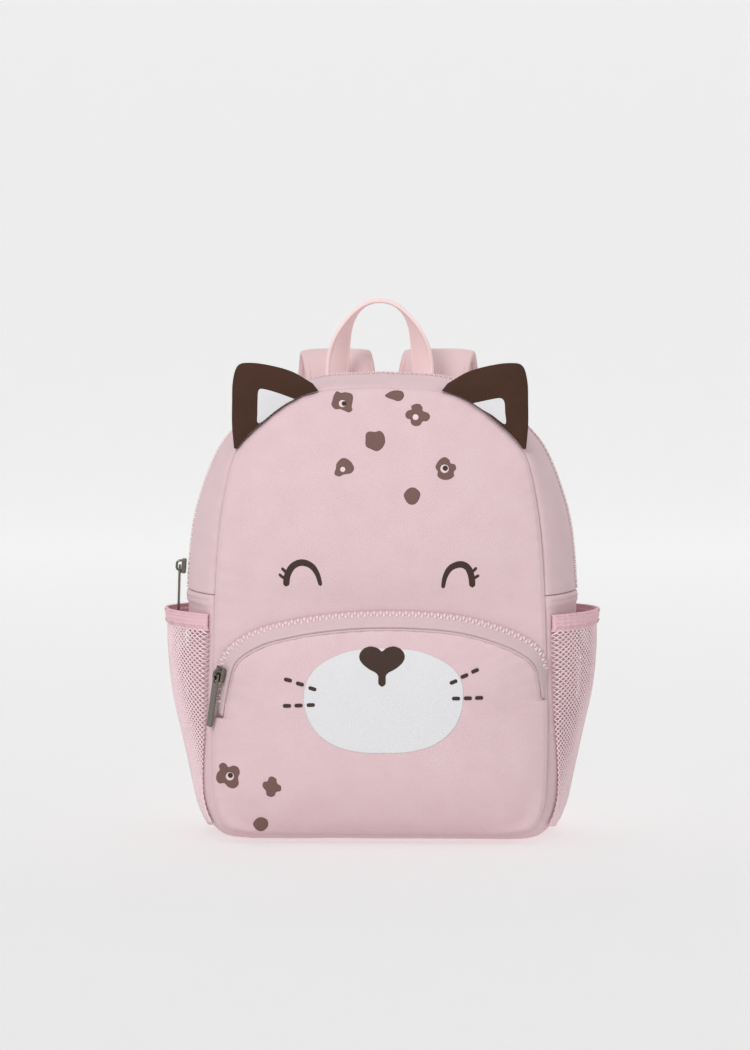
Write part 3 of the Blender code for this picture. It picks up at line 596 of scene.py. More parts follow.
def lowerSurface(share, deep):  # the base and sides, hemmed at their two top ends
    toEnd = (joinShare - abs(share)) * seamLength
    hem = gusset["hem"] * (1 - smooth(gusset["hemWidth"] * 0.8, gusset["hemWidth"], toEnd))
    if toEnd < gusset["hemRound"]:
        hem *= math.sqrt(max(0.0, 1 - (1 - toEnd / gusset["hemRound"]) ** 2))
    return gussetPoint(share, deep, hem - gussetDip(share, deep))


halfColumns = gusset["columns"] // 2
for name, low, high, node in (
    ("gussetFront", 0.0, 0.5 - zipHalf - gap / body["depth"], "gusset_front"),
    ("gussetBack", 0.5 + zipHalf + gap / body["depth"], 1.0, "gusset_back"),
):
    deeps = spread(low, high, halfColumns)
    rows = [[upperSurface(share, deep) for deep in deeps] for share in upperShares(gusset["rowsUpper"])]
    piece = gridSheet(name, rows, gusset["cloth"], pinkOxford)
    sewnSheet(finishPiece(piece, "canvas", node), "gussetLower")

rows = [
    [lowerSurface(share, deep) for deep in spread(0.0, 1.0, gusset["columns"])]
    for share in spread(-joinShare, joinShare, gusset["rowsLower"])
]
piece = gridSheet("gussetLower", rows, gusset["cloth"], pinkOxford)
sewnSheet(finishPiece(piece, "canvas", "gusset_lower"), "backPanel")

mainZip = {
    "tape": 0.0010, "pitch": 0.0032, "width": 0.0013, "reach": 0.0034, "height": 0.0018, "offset": 0.0010,
    "tapeSunk": 0.0004, "teethSunk": 0.0002,
}
deeps = spread(0.5 - zipHalf * 1.15, 0.5 + zipHalf * 1.15, 9)
rows = [[gussetPoint(share, deep, -mainZip["tapeSunk"]) for deep in deeps] for share in upperShares(300)]
piece = gridSheet("mainZipTape", rows, mainZip["tape"], zipTape)
sewnSheet(finishPiece(piece, "zip_tape", "main_zip_tape"), "gussetFront", "gussetBack")
shares = upperShares(500)


def chainSurface(share, deep):
    return gussetPoint(share, deep, -mainZip["teethSunk"])


path = [facing(chainSurface, share, 0.5, -0.004, 0.03) for share in shares]
finishPiece(zipTeeth("mainZipTeeth", path, mainZip), "zip_teeth", "main_zip_chain")

stitchLines = []
for side in (-1, 1):
    deep = 0.5 + side * (zipHalf + stitch["fromEdge"] / body["depth"])
    stitchLines.append([facing(upperSurface, share, deep, -0.002, 0.01) for share in shares])
for side in (-1, 1):
    share = side * (joinShare - stitch["fromEdge"] / seamLength)
    stitchLines.append([facing(lowerSurface, share, deep, 0.002, 0.01) for deep in spread(0.03, 0.97, 60)])
finishPiece(stitchRow("gussetStitches", stitchLines), "canvas")
print("gussets and main zip sewn")


# the front pocket and its zip

pocket = {
    "top": 0.1365,
    "depth": 0.0225,
    "mouthDepth": 0.0165,
    "zipRise": 0.0098,
    "zipEnd": 0.006,
    "crownPower": 3.2,
    "cloth": 0.0012,
    "rings": 72,
    "seamSides": 220,
    "mouthSides": 200,
    "calmReach": 14,
    "calmWidth": 0.012,
}
# the pocket's mouth from its left end to its right end, in shares of the sizes above
archTable = (
    # across, up, out, rise
    (-0.935, 0.560, 0.20, 0.50),
    (-0.900, 0.690, 0.40, 0.80),
    (-0.876, 0.770, 0.58, 0.94),
    (-0.848, 0.828, 0.68, 1.00),
    (-0.785, 0.874, 0.78, 1.00),
    (-0.680, 0.918, 0.86, 1.00),
    (-0.560, 0.946, 0.92, 1.00),
    (-0.400, 0.972, 0.97, 1.00),
    (-0.200, 0.992, 1.00, 1.00),
    (0.000, 1.000, 1.00, 1.00),
    (0.237, 0.997, 1.00, 1.00),
    (0.443, 0.982, 0.97, 1.00),
    (0.607, 0.952, 0.92, 1.00),
    (0.772, 0.904, 0.82, 1.00),
    (0.885, 0.850, 0.68, 0.96),
    (0.932, 0.795, 0.50, 0.66),
    (0.953, 0.726, 0.26, 0.42),
    (0.968, 0.650, 0.06, 0.16),
)
archRows = smoothRows([(a * halfWidth, u * pocket["top"], out, rise) for a, u, out, rise in archTable], 193)
# soft dents in the pocket, as in the face
pocketFolds = (
    # x, z, length, width, turn, depth
    (-0.086, 0.096, 0.022, 0.006, 72, 0.0010),
    (0.084, 0.085, 0.030, 0.009, 80, 0.0008),
    (-0.078, 0.022, 0.026, 0.008, 40, 0.0007),
    (0.080, 0.022, 0.028, 0.009, -40, 0.0008),
)


def archAt(share):
    x, z, out, rise = rowAt(archRows, share)
    rise *= (0.3 + 0.7 * smooth(0.0, 0.045, share)) * (0.25 + 0.75 * smooth(1.0, 0.92, share))
    z += lift
    return x, z, frontY(z) - 2 * gap - body["wall"] - out * pocket["mouthDepth"], rise


def zipEdges(share):
    x, z, y, rise = archAt(share)
    ahead, behind = archAt(share + 0.01), archAt(share - 0.01)
    up = Vector((behind[1] - ahead[1], 0.0, ahead[0] - behind[0])).normalized()
    low = Vector((x, y, z)) + up * gap
    high = low + up * rise * pocket["zipRise"]
    hit = faceTree.ray_cast(Vector((high.x, -1.0, high.z)), Vector((0.0, 1.0, 0.0)))[0]
    high.y = (hit.y if hit else frontY(high.z)) - 2 * gap
    return low, high


leftEnd, rightEnd = archAt(0.0), archAt(1.0)
leftShare = -shareWhere(lambda x, z: z > leftEnd[1])
rightShare = shareWhere(lambda x, z: z > rightEnd[1])
pocketMiddle = lift + pocket["top"] / 2
crown = -body["depth"] / 2 - gap - body["wall"] - pocket["depth"]
border = []
for share in spread(leftShare, rightShare, pocket["seamSides"]):
    x, z = seamAt(share)[:2]
    border.append(Vector((x, frontY(z) - gap - body["wall"], z)))
zipShares = spread(pocket["zipEnd"], 1 - pocket["zipEnd"], pocket["mouthSides"])
for share in [1.0] + zipShares[::-1] + [0.0]:
    x, z, y, _ = archAt(share)
    border.append(Vector((x, y, z)))
borderAlong = [0.0]
for first, second in zip(border, border[1:]):
    borderAlong.append(borderAlong[-1] + (second - first).length)


def calmed(values):  # without the steps at the mouth's two ends
    reach, count = range(-pocket["calmReach"], pocket["calmReach"] + 1), len(values)
    return [sum(values[(index + k) % count] for k in reach) / len(reach) for index in range(count)]


reaches = [math.hypot(edge.x, edge.z - pocketMiddle) for edge in border]
calmY, calmReaches = calmed([edge.y for edge in border]), calmed(calmed(reaches))


def pocketPoint(index, ring):
    edge = border[index]
    x, z = edge.x * ring, pocketMiddle + (edge.z - pocketMiddle) * ring
    toSeam = (1 - ring) * math.hypot(edge.x, edge.z - pocketMiddle)
    inside = smooth(0.0, pocket["calmWidth"], toSeam)
    rimY = edge.y + (calmY[index] - edge.y) * inside
    share = ring * (1 + (reaches[index] / calmReaches[index] - 1) * inside)
    y = crown + (rimY - crown) * share ** pocket["crownPower"]
    y += seamDip(toSeam, borderAlong[index]) + foldDepth(pocketFolds, x, z)
    return Vector((x, y + seamwork["unevenness"] * soft(x, 0.9, z, seamwork["unevenGrain"]), z))


places = range(len(border))
pocketPanel = discSheet("pocketPanel", pocketPoint, 0, places, pocket["rings"], pocket["cloth"], pinkOxford)
sewnSheet(finishPiece(pocketPanel, "canvas", "pocket_panel"), "facePanel")
pocketTree = surfaceTree(pocketPanel)

pocketZip = {
    "tape": 0.0009, "pitch": 0.0041, "width": 0.0019, "reach": 0.0036, "height": 0.0019, "offset": 0.0009,
    "fromTop": 0.0030, "columns": 18, "tuck": 0.0024,
}


def zipSurface(share, up):  # the strip that closes the pocket's mouth, tucked under its lower edge
    low, high = zipEdges(share)
    point = low.lerp(high, up)
    point.y += pocketZip["tuck"] * smooth(0.12, -0.04, up)
    return point


rows = [[zipSurface(share, up) for up in spread(-0.18, 1.0, pocketZip["columns"])] for share in zipShares]
piece = gridSheet("pocketZipTape", rows, pocketZip["tape"], zipTape)
sewnSheet(finishPiece(piece, "zip_tape", "pocket_zip_tape"), "facePanel", "pocketPanel")
path = []
for share in spread(0.035, 0.930, 400):
    low, high = zipEdges(share)
    middle = 1 - pocketZip["fromTop"] / (high - low).length
    path.append(facing(zipSurface, share, max(0.4, middle), 0.004, 0.1))
finishPiece(zipTeeth("pocketZipTeeth", path, pocketZip), "zip_teeth", "pocket_zip_chain")
print("front pocket sewn")


# the net side pockets

net = {
    "top": 0.1495,
    "bottom": 0.014,
    "bag": 0.0115,
    "bagPower": 1.5,
    "binding": 0.0104,
    "bindingCloth": 0.0015,
    "flare": 0.0016,
    "across": 58,
    "up": 78,
    "strand": 0.0013,
    "ribs": 4,
    "ribHeight": 0.00022,
    "mesh": 0.0017,
    "out": 0.0016,
    "bindingOut": 0.0027,
    "bindingLap": 0.006,
    "sag": 0.0009,
    "gather": 0.00025,
    "turned": 0.0009,
}


def netPoint(side, height, across, out):  # height is 0 at the net's bottom and 1 at its bound top
    share = net["lowShare"] + (net["topShare"] - net["lowShare"]) * height
    start = 0.016 + 0.11 * (1 - smooth(0.0, 0.62, height))
    deep = start + (0.975 - start) * across
    bag = net["bag"] * math.sin(math.pi * across) ** 0.6 * smooth(0.0, 0.85, height) ** net["bagPower"]
    bag += gap * 2 * (1 - smooth(0.0, 0.25, height))
    sag = net["sag"] * soft(across * 3, side, height * 2, 0.5) * math.sin(math.pi * across)
    return gussetPoint(side * share, deep, out + bag + sag)


net["lowShare"] = shareWhere(lambda x, z: z > net["bottom"])
net["topShare"] = shareWhere(lambda x, z: z > net["top"])
net["seatHeight"] = (
    shareWhere(lambda x, z: z > net["top"] - net["binding"]) - net["lowShare"]
) / (net["topShare"] - net["lowShare"])


def buildNet(side, name):
    columns, rowCount = net["across"], net["up"]
    spots, points, faces, cloth = {}, [], [], []
    for i in range(rowCount + 1):
        for j in range(columns + 1):
            if (i + j) % 2 == 0 or i in (0, rowCount) or j in (0, columns):
                spots[i, j] = len(points)
                height = net["seatHeight"] * i / rowCount
                points.append(netPoint(side, height, j / columns, net["out"]))
                cloth.append((j * net["mesh"], i * net["mesh"]))
    for i in range(rowCount + 1):
        for j in range(columns + 1):
            if (i + j) % 2 == 0:
                continue
            ring = [spots.get(key) for key in ((i - 1, j), (i, j + 1), (i + 1, j), (i, j - 1))]
            ring = [corner for corner in ring if corner is not None]
            if len(ring) == 4:
                faces.append(tuple(ring[::-1] if side < 0 else ring))
    piece = meshPiece("net" + name, points, faces, netYarn, cloth)
    strands = piece.modifiers.new("Strands", "WIREFRAME")
    strands.thickness = net["strand"]
    strands.use_even_offset = False
    strands.use_boundary = True
    finishPiece(piece, "net", "mesh_pocket_" + name.lower())

    def bindingPoint(height, across):
        share = (height - net["seatHeight"]) / (1 - net["seatHeight"])
        rib = net["ribHeight"] * math.cos(2 * math.pi * net["ribs"] * share)
        gather = net["gather"] * math.sin(across * 150 + 3 * soft(across, side, 0.0, 0.2))
        flare = net["flare"] * share * math.sin(math.pi * across)
        turned = -net["turned"] * (smooth(0.90, 1.0, share) + smooth(0.08, 0.0, share))
        return netPoint(side, height, across, net["bindingOut"] + rib + gather + flare + turned)

    rows = [
        [bindingPoint(height, across) for across in spread(0.0, 1.0, 150)]
        for height in spread(net["seatHeight"] - net["bindingLap"], 1.0, 34)
    ]
    piece = gridSheet("binding" + name, rows, net["bindingCloth"], elastic, flip=side < 0)
    sewnSheet(finishPiece(piece, "elastic", "pocket_binding_" + name.lower()), "net" + name)
    lines, acrosses = [], spread(0.01, 0.99, 200)
    for share in (0.12, 0.24, 0.88):
        height = net["seatHeight"] + (1 - net["seatHeight"]) * share
        lines.append([facing(bindingPoint, height, across, 0.002, 0.004 * side) for across in acrosses])
    finishPiece(stitchRow("bindingStitches" + name, lines), "elastic")


for side, name in ((-1, "Left"), (1, "Right")):
    buildNet(side, name)
print("side pockets knitted and bound")


# the camera, at the picture's angle

view = {
    "azimuth": 1.8, "elevation": 4.0, "distance": 2.4, "aim": Vector((-0.003, -0.05, 0.2085)),
    "metresPerPixel": 0.00065, "pictureWidth": 750, "pictureHeight": 1050, "sensor": 36.0,
}
turn, tilt = math.radians(view["azimuth"]), math.radians(view["elevation"])
backward = Vector((math.sin(turn) * math.cos(tilt), -math.cos(turn) * math.cos(tilt), math.sin(tilt)))
rightward = Vector((math.cos(turn), math.sin(turn), 0.0))
upward = backward.cross(rightward)
eye = view["aim"] + backward * view["distance"]
cameraData = bpy.data.cameras.new("camera")
cameraData.sensor_width = view["sensor"]
cameraData.lens = view["sensor"] * view["distance"] / (view["pictureHeight"] * view["metresPerPixel"])
cameraData.clip_end = 50
camera = newObject("camera", cameraData)
camera.location = eye
camera.rotation_mode = "QUATERNION"
camera.rotation_quaternion = (-backward).to_track_quat("-Z", "Y")
bpy.context.scene.camera = camera


# prints: places in the picture's pixels, laid on the cloth along the line of sight

printed = {"lift": 0.00016, "over": 0.00036, "film": 0.00010, "step": 1.2}


def sightTo(x, y):
    aside = rightward * (x - view["pictureWidth"] / 2) * view["metresPerPixel"]
    above = upward * (view["pictureHeight"] / 2 - y) * view["metresPerPixel"]
    return (view["aim"] + aside + above - eye).normalized()


def onPicture(tree, x, y, raised):
    sight = sightTo(x, y)
    point, normal, _, _ = tree.ray_cast(eye, sight)
    if point is None:
        point, normal, _, _ = tree.find_nearest(eye + sight * (view["distance"] - 0.02))
    if normal.dot(sight) > 0:
        normal = -normal
    return point + normal * raised


def trimmed(tree, outline, middle):  # an outline that runs past a seam is cut off along it
    kept = []
    for far in outline:
        low, high = float(tree.ray_cast(eye, sightTo(*far))[0] is not None), 1.0
        for _ in range(12):
            share = (low + high) / 2
            if tree.ray_cast(eye, sightTo(*middle.lerp(far, share)))[0]:
                low = share
            else:
                high = share
        kept.append(middle.lerp(far, low))
    return kept


class Print:  # gathers the shapes of one ink on one piece of cloth
    def __init__(self, tree, raised=printed["lift"]):
        self.tree, self.raised, self.points, self.faces = tree, raised, [], []

    def add(self, x, y):
        self.points.append(onPicture(self.tree, x, y, self.raised))

    def blob(self, outline, middle, holeRadius=0.0):
        count, middle, start = len(outline), Vector(middle), len(self.points)
        rings = max(3, int(max((p - middle).length for p in outline) / printed["step"]))
        inner = [middle + (far - middle).normalized() * holeRadius for far in outline]
        for share in spread(0.0, 1.0, rings + 1):
            for near, far in zip(inner, outline):
                self.add(*near.lerp(far, share))
        self.faces += gridFaces(rings + 1, count, False, start, wrap=True)

    def dot(self, x, y, radius, count=30):
        turns = [2 * math.pi * k / count for k in range(count)]
        self.blob([Vector((x + radius * math.cos(t), y + radius * math.sin(t))) for t in turns], (x, y))

    def stroke(self, rows, count=40, across=6):
        rows = smoothRows(rows, count)
        length = sum(math.dist(a[:2], b[:2]) for a, b in zip(rows, rows[1:]))
        start, travelled = len(self.points), 0.0
        for index, row in enumerate(rows):
            travelled += math.dist(row[:2], rows[index - 1][:2]) if index else 0.0
            ahead, behind = rows[min(count - 1, index + 1)], rows[max(0, index - 1)]
            along = Vector((ahead[0] - behind[0], ahead[1] - behind[1])).normalized()
            radius = row[2] / 2
            toEnd = min(travelled, length - travelled)
            rounding = math.sqrt(max(0.0004, 1 - max(0.0, 1 - toEnd / radius) ** 2))
            for offset in spread(-radius * rounding, radius * rounding, across):
                self.add(row[0] - along[1] * offset, row[1] + along[0] * offset)
        self.faces += gridFaces(count, across, False, start)

    def finish(self, name, material, slotName="canvas", *replaced):
        piece = meshPiece(name, self.points, self.faces, material, [(p.x, p.z) for p in self.points])
        wall = piece.modifiers.new("Film", "SOLIDIFY")
        wall.thickness = printed["film"]
        return finishPiece(piece, slotName, *replaced)


# the ears

ear = {
    "edge": 0.0015,
    "frontPad": 0.0045,
    "backPad": 0.0005,
    "seat": 0.0008,
    "innerShare": 0.365,
    "outerShare": 0.845,
    "alongCount": 61,
    "upCount": 41,
    "pinch": 0.0006,
    "pinchAlong": 0.16,
    "pinchWidth": 0.05,
    "unevenness": 0.0003,
}
earTable = (
    # across, up
    (0.400, 1.010),
    (0.520, 1.036),
    (0.650, 1.050),
    (0.770, 1.056),
    (0.845, 1.050),
    (0.875, 1.015),
    (0.880, 0.965),
    (0.880, 0.915),
    (0.868, 0.865),
)
# the white linings, in the picture's pixels; their inner side is hidden in the seam
liningOutlines = {
    -1: (
        (258, 423), (257.4, 412), (257.6, 400), (258.2, 391.6), (260.6, 388.9), (266, 389.6), (276, 392.4),
        (288, 396.6), (298, 400.4), (303, 402.4), (296, 406), (282, 411), (268, 418),
    ),
    1: (
        (505.2, 424), (505.2, 412), (504.6, 403), (502.4, 399.0), (498, 398.2), (490, 399.6), (480, 401.8),
        (473.4, 403.6), (480, 408), (492, 415),
    ),
}
earRows = smoothRows([(a * halfWidth, u * height) for a, u in earTable], 97)
earStart = shareWhere(lambda x, z: z > panelMiddle and x < ear["outerShare"] * halfWidth)
earEnd = shareWhere(lambda x, z: z > panelMiddle and x < ear["innerShare"] * halfWidth)


def earPoint(side, along, up, out):
    x, z, _, outward = seamAt(earEnd + (earStart - earEnd) * along)
    base = Vector((x + outward.x * ear["seat"], z + outward.z * ear["seat"]))
    edge = rowAt(earRows, along)
    place = base.lerp(Vector((edge[0], edge[1] + lift)), up)
    return Vector((side * place.x, frontY(z) + body["wall"] / 2 - out, place.y))


def earPadding(along, up):
    return (4 * along * (1 - along)) ** 0.7 * math.sin(math.pi * (0.10 + 0.90 * up)) ** 0.7


def closedPad(name, front, back, material, flip):
    rows, columns = len(front), len(front[0])
    points = [p for row in front for p in row] + [p for row in back for p in row]
    count = rows * columns
    faces = gridFaces(rows, columns, flip) + gridFaces(rows, columns, not flip, count)
    edge = list(range(columns))
    edge += [i * columns + columns - 1 for i in range(1, rows)]
    edge += [(rows - 1) * columns + j for j in range(columns - 2, -1, -1)]
    edge += [i * columns for i in range(rows - 2, 0, -1)]
    for here, after in zip(edge, edge[1:] + edge[:1]):
        quad = (after, here, here + count, after + count)
        faces.append(quad[::-1] if flip else quad)
    return meshPiece(name, points, faces, material, [(p.x, p.z) for p in points])


def buildEar(side, name):
    def frontFace(along, up):
        pad = ear["frontPad"] * earPadding(along, up)
        fromPinch = (along - ear["pinchAlong"]) / ear["pinchWidth"]
        pinch = ear["pinch"] * math.exp(-(fromPinch**2)) * (1 - up * 0.6)
        uneven = ear["unevenness"] * soft(along, up, side, 0.22)
        return earPoint(side, along, up, ear["edge"] / 2 + pad - pinch + uneven)

    def backFace(along, up):
        return earPoint(side, along, up, -ear["edge"] / 2 - ear["backPad"] * earPadding(along, up))

    alongs, ups = spread(0.0, 1.0, ear["alongCount"]), spread(0.0, 1.0, ear["upCount"])
    front, back = [[[shape(along, up) for along in alongs] for up in ups] for shape in (frontFace, backFace)]
    piece = closedPad("ear" + name, front, back, brownOxford, side < 0)
    finishPiece(piece, "ear_cloth", "ear_" + name.lower())
    outline = closedCurve(liningOutlines[side], 160)
    frontFaces = gridFaces(len(ups), len(alongs), side < 0)
    lining = Print(BVHTree.FromPolygons([point for row in front for point in row], frontFaces))
    middle = sum(outline, Vector((0, 0))) / len(outline)
    lining.blob(trimmed(lining.tree, outline, middle), middle)
    lining.finish("earLining" + name, whiteInk, "white_cloth", "ear_lining_" + name.lower())


for side, name in ((-1, "Left"), (1, "Right")):
    buildEar(side, name)
print("ears sewn")


# the grab handle

handle = {
    "halfSpan": 0.029, "rise": 0.052, "width": 0.020, "cloth": 0.0030, "baseTurn": 43, "fromBack": 0.4,
    "count": 120, "sunk": 0.0015, "crown": 0.0002, "edge": 0.0025, "groove": 0.0004,
    "archPower": 0.93, "aside": -0.0025,
}


def topSurface(x, y):
    share = shareWhere(lambda near, z: z > panelMiddle and near < max(abs(x), gap))
    start = frontY(lift + height) + body["wall"] + gap
    return gussetPoint(share, (y - start) / (body["depth"] / 2 - start)).z


def sweep(name, points, turns, section, material):
    # a closed section carried along points, each with the direction of its width
    last, sides = len(points) - 1, len(section(0.0))
    vertices, cloth, travelled = [], [], 0.0
    for index, point in enumerate(points):
        along = (points[min(last, index + 1)] - points[max(0, index - 1)]).normalized()
        across = (turns[index] - along * turns[index].dot(along)).normalized()
        outward = along.cross(across)
        travelled += (point - points[index - 1]).length if index else 0.0
        for wide, thick in section(index / last):
            vertices.append(point + across * wide + outward * thick)
            cloth.append((wide, travelled))
    faces = gridFaces(last + 1, sides, False, 0, wrap=True)
    faces.append(tuple(reversed(range(sides))))
    faces.append(tuple(last * sides + k for k in range(sides)))
    return meshPiece(name, vertices, faces, material, cloth)


def roundedSection(width, thickness, sides, square=0.35, crown=0.0, stitchAt=None, stitchDepth=0.0):
    loop = []
    for k in range(sides):
        turn = 2 * math.pi * (k + 0.5) / sides
        wide = math.copysign(abs(math.cos(turn)) ** square, math.cos(turn)) * width / 2
        thick = math.copysign(abs(math.sin(turn)) ** square, math.sin(turn))
        reach = thickness / 2 + crown * max(0.0, 1 - (2 * wide / width) ** 2)
        if stitchAt is not None:
            reach -= stitchDepth * math.exp(-(((width / 2 - abs(wide) - stitchAt) / 0.0012) ** 2))
        loop.append((wide, thick * reach))
    return loop


handleBase = topSurface(handle["halfSpan"], body["depth"] / 2 - handle["width"] * handle["fromBack"])
points, turns = [], []
for k in range(handle["count"]):
    turn = math.pi * (1 - k / (handle["count"] - 1))
    x = handle["halfSpan"] * math.copysign(abs(math.cos(turn)) ** handle["archPower"], math.cos(turn))
    rise = math.sin(turn) ** handle["archPower"]
    y = body["depth"] / 2 - handle["width"] * handle["fromBack"]
    points.append(Vector((x + handle["aside"], y, handleBase + handle["rise"] * rise)))
    twist = math.copysign(math.radians(handle["baseTurn"]) * (1 - smooth(0.2, 1.08, rise)), -x)
    turns.append(Vector((math.sin(twist), math.cos(twist), 0.0)))
points[0].z -= handle["sunk"]
points[-1].z -= handle["sunk"]
handleSection = roundedSection(
    handle["width"], handle["cloth"], 36, 0.3, handle["crown"], handle["edge"], handle["groove"]
)
piece = sweep("grabHandle", points, turns, lambda share: handleSection, webbing)
finishPiece(piece, "webbing", "handle")


# the shoulder straps

strap = {
    "width": 0.0470, "inward": {-1: 0.0040, 1: 0.0008}, "thickness": 0.0054, "standoff": 0.042,
    "edge": 0.0030, "groove": 0.0002, "crown": 0.0009, "puff": 0.0003, "stitchSunk": 0.0003,
    "count": 160, "overBack": 0.004,
    "webbingWidth": 0.020, "webbingThickness": 0.0014, "buckleLength": 0.024, "buckleBar": 0.0036,
    "anchorAcross": 0.900, "anchorUp": 0.075, "tabWidth": 0.024, "tabLength": 0.022, "tabThickness": 0.003,
    "backPad": 0.006,
}
strapTable = (
    # across, back, up, width
    (0.300, 0.00, 0.870, 1.00),
    (0.300, 0.00, 0.950, 1.00),
    (0.306, 0.08, 1.012, 1.00),
    (0.330, 0.28, 1.056, 1.00),
    (0.352, 0.52, 1.066, 1.00),
    (0.365, 0.76, 1.040, 1.00),
    (0.390, 0.93, 0.960, 1.00),
    (0.440, 1.00, 0.840, 1.00),
    (0.530, 0.98, 0.690, 1.00),
    (0.620, 0.86, 0.530, 0.92),
    (0.700, 0.68, 0.410, 0.78),
    (0.740, 0.58, 0.350, 0.67),
)
lacingTable = (
    # down, out
    (6.0, -3.6),
    (3.6, -3.4),
    (1.6, -3.0),
    (-0.7, -2.2),
    (-1.55, -0.6),
    (-1.15, 1.6),
    (0.0, 2.3),
    (2.0, 2.3),
    (4.5, 2.5),
    (9.0, 1.4),
)


def rimShare(x, z, grow=0.0):  # how far out a point lies from the panel's middle, 1 at the seam
    ray = Vector((x, z - panelMiddle))
    side, angle = math.copysign(1.0, x) if x else 1.0, math.atan2(ray.y, abs(ray.x))
    low, high = 0.0, 1.0
    for _ in range(30):
        mid = (low + high) / 2
        seamX, seamZ = seamAt(side * mid)[:2]
        if math.atan2(seamZ - panelMiddle, abs(seamX)) < angle:
            low = mid
        else:
            high = mid
    seamX, seamZ, _, outward = seamAt(side * low)
    return ray.length / Vector((seamX + outward.x * grow, seamZ + outward.z * grow - panelMiddle)).length


def backY(x, z):
    share = min(1.0, rimShare(x, z, body["backGrow"]))
    return body["depth"] / 2 + gap + body["wall"] + strap["backPad"] * (1 - share**4)


def strapPath(side):
    half, rows = strap["width"] / 2, []
    for across, back, up, width in strapTable:
        x, z = across * halfWidth, lift + up * height
        panel = max(backY(near, min(z, lift + height)) for near in (x - half, x, x + half))
        x -= strap["inward"][side] * smooth(0.65, 0.90, up)
        rows.append((side * x, panel + gap * 2 + strap["overBack"] + back * strap["standoff"], z, width))
    return smoothRows(rows, strap["count"], measured=3)


def buildStrap(side, name):
    rows = strapPath(side)
    points = [Vector(row[:3]) for row in rows]
    widths = [row[3] * strap["width"] for row in rows]
    level = [Vector((1.0, 0.0, 0.0))] * len(points)

    def section(share):
        width = widths[min(len(widths) - 1, int(round(share * (len(widths) - 1))))]
        crown = strap["crown"] + strap["puff"] * soft(share * 9, side, 0.0, 0.5)
        return roundedSection(width, strap["thickness"], 48, 0.55, crown, strap["edge"], strap["groove"])

    # the straps wear the copy of the oxford that is painted a shade paler, as painted light
    piece = sweep("strap" + name, points, level, section, paintedLightOxford)
    finishPiece(piece, "canvas", "strap_" + name.lower())
    lines = []
    for out in (-1, 1):
        for edge in (-1, 1):
            line = []
            for index in range(2, len(points) - 2):
                along = (points[index + 1] - points[index - 1]).normalized()
                outward = along.cross(level[index]).normalized() * out
                place = points[index] + level[index] * edge * (widths[index] / 2 - strap["edge"])
                line.append((place + outward * (strap["thickness"] / 2 - strap["stitchSunk"]), outward))
            lines.append(line)
    finishPiece(stitchRow("strapStitches" + name, lines), "canvas")

    anchorX, anchorZ = side * strap["anchorAcross"] * halfWidth, lift + strap["anchorUp"] * height
    seat = backY(anchorX - side * strap["tabWidth"], anchorZ + strap["tabLength"] / 2)
    anchor = Vector((anchorX, seat + gap * 2 + strap["tabThickness"] / 2, anchorZ))
    down = (anchor - points[-1]).normalized()
    buckleMiddle = points[-1] + down * (strap["buckleLength"] / 2 + 2 * gap)
    away = Vector((1.0, 0.0, 0.0)).cross(down).normalized()
    away = away if away.y > 0 else -away
    tabTop = anchor - down * strap["tabLength"]
    tabLine = [anchor.lerp(tabTop, share) for share in spread(0.0, 1.0, 24)]

    def tabSection(share):
        width = strap["tabWidth"] * (1.25 - 0.25 * share)
        return roundedSection(width, strap["tabThickness"] * 0.9, 28, 0.25, 0.0, 0.0022, 0.0004)

    tab = sweep("strapTab" + name, tabLine, level[:24], tabSection, webbing)
    finishPiece(tab, "webbing", "strap_tab_" + name.lower())
    route = [tabTop - down * gap, tabTop.lerp(buckleMiddle, 0.4)]
    for downShare, outShare in lacingTable:
        place = buckleMiddle + down * downShare * strap["buckleBar"]
        route.append(place + away * outShare * strap["webbingThickness"])
    route = smoothRows(route, 130, measured=3)
    beltSection = roundedSection(strap["webbingWidth"], strap["webbingThickness"], 28, 0.22)
    belt = sweep("strapWebbing" + name, route, level[:len(route)], lambda share: beltSection, webbing)
    finishPiece(belt, "webbing", "strap_webbing_" + name.lower())


for side, name in ((-1, "Left"), (1, "Right")):
    buildStrap(side, name)
print("handle and straps sewn")


# the padded back

back = {
    "rings": 60, "sides": 300, "cloth": 0.0015, "unevenness": 0.0004, "unevenGrain": 0.035,
    "channel": 0.0020, "channelWidth": 0.0045, "channelAcross": 0.045,
}


def backPoint(share, ring):
    edge = gussetPoint(share, 1.0)
    toSeam = (1 - ring) * math.hypot(edge.x, edge.z - panelMiddle)
    x, z = edge.x * ring, panelMiddle + (edge.z - panelMiddle) * ring
    y = body["depth"] / 2 + gap + body["wall"] + strap["backPad"] * (1 - ring**4)
    fromChannel = (abs(x) - back["channelAcross"]) / back["channelWidth"]
    y -= back["channel"] * math.exp(-(fromChannel**2)) * smooth(0.0, 0.02, toSeam)
    y -= seamDip(toSeam, share * seamLength)
    return Vector((x, y - back["unevenness"] * soft(x, 1.7, z, back["unevenGrain"]), z))


places = [1 - 2 * j / back["sides"] for j in range(back["sides"])]
piece = discSheet("backPanel", backPoint, 0.5, places, back["rings"], back["cloth"], pinkOxford)
finishPiece(piece, "canvas", "back_panel")
print("back sewn")


# the hard fittings

for material, names in (
    (platedZinc, ("main_slider", "pocket_slider", "main_puller", "pocket_puller")),
    (mouldedBuckle, ("strap_buckle_left", "strap_buckle_right")),
):
    for name in names:
        nodes[name].data.materials.clear()
        nodes[name].data.materials.append(material)
print("fittings finished")


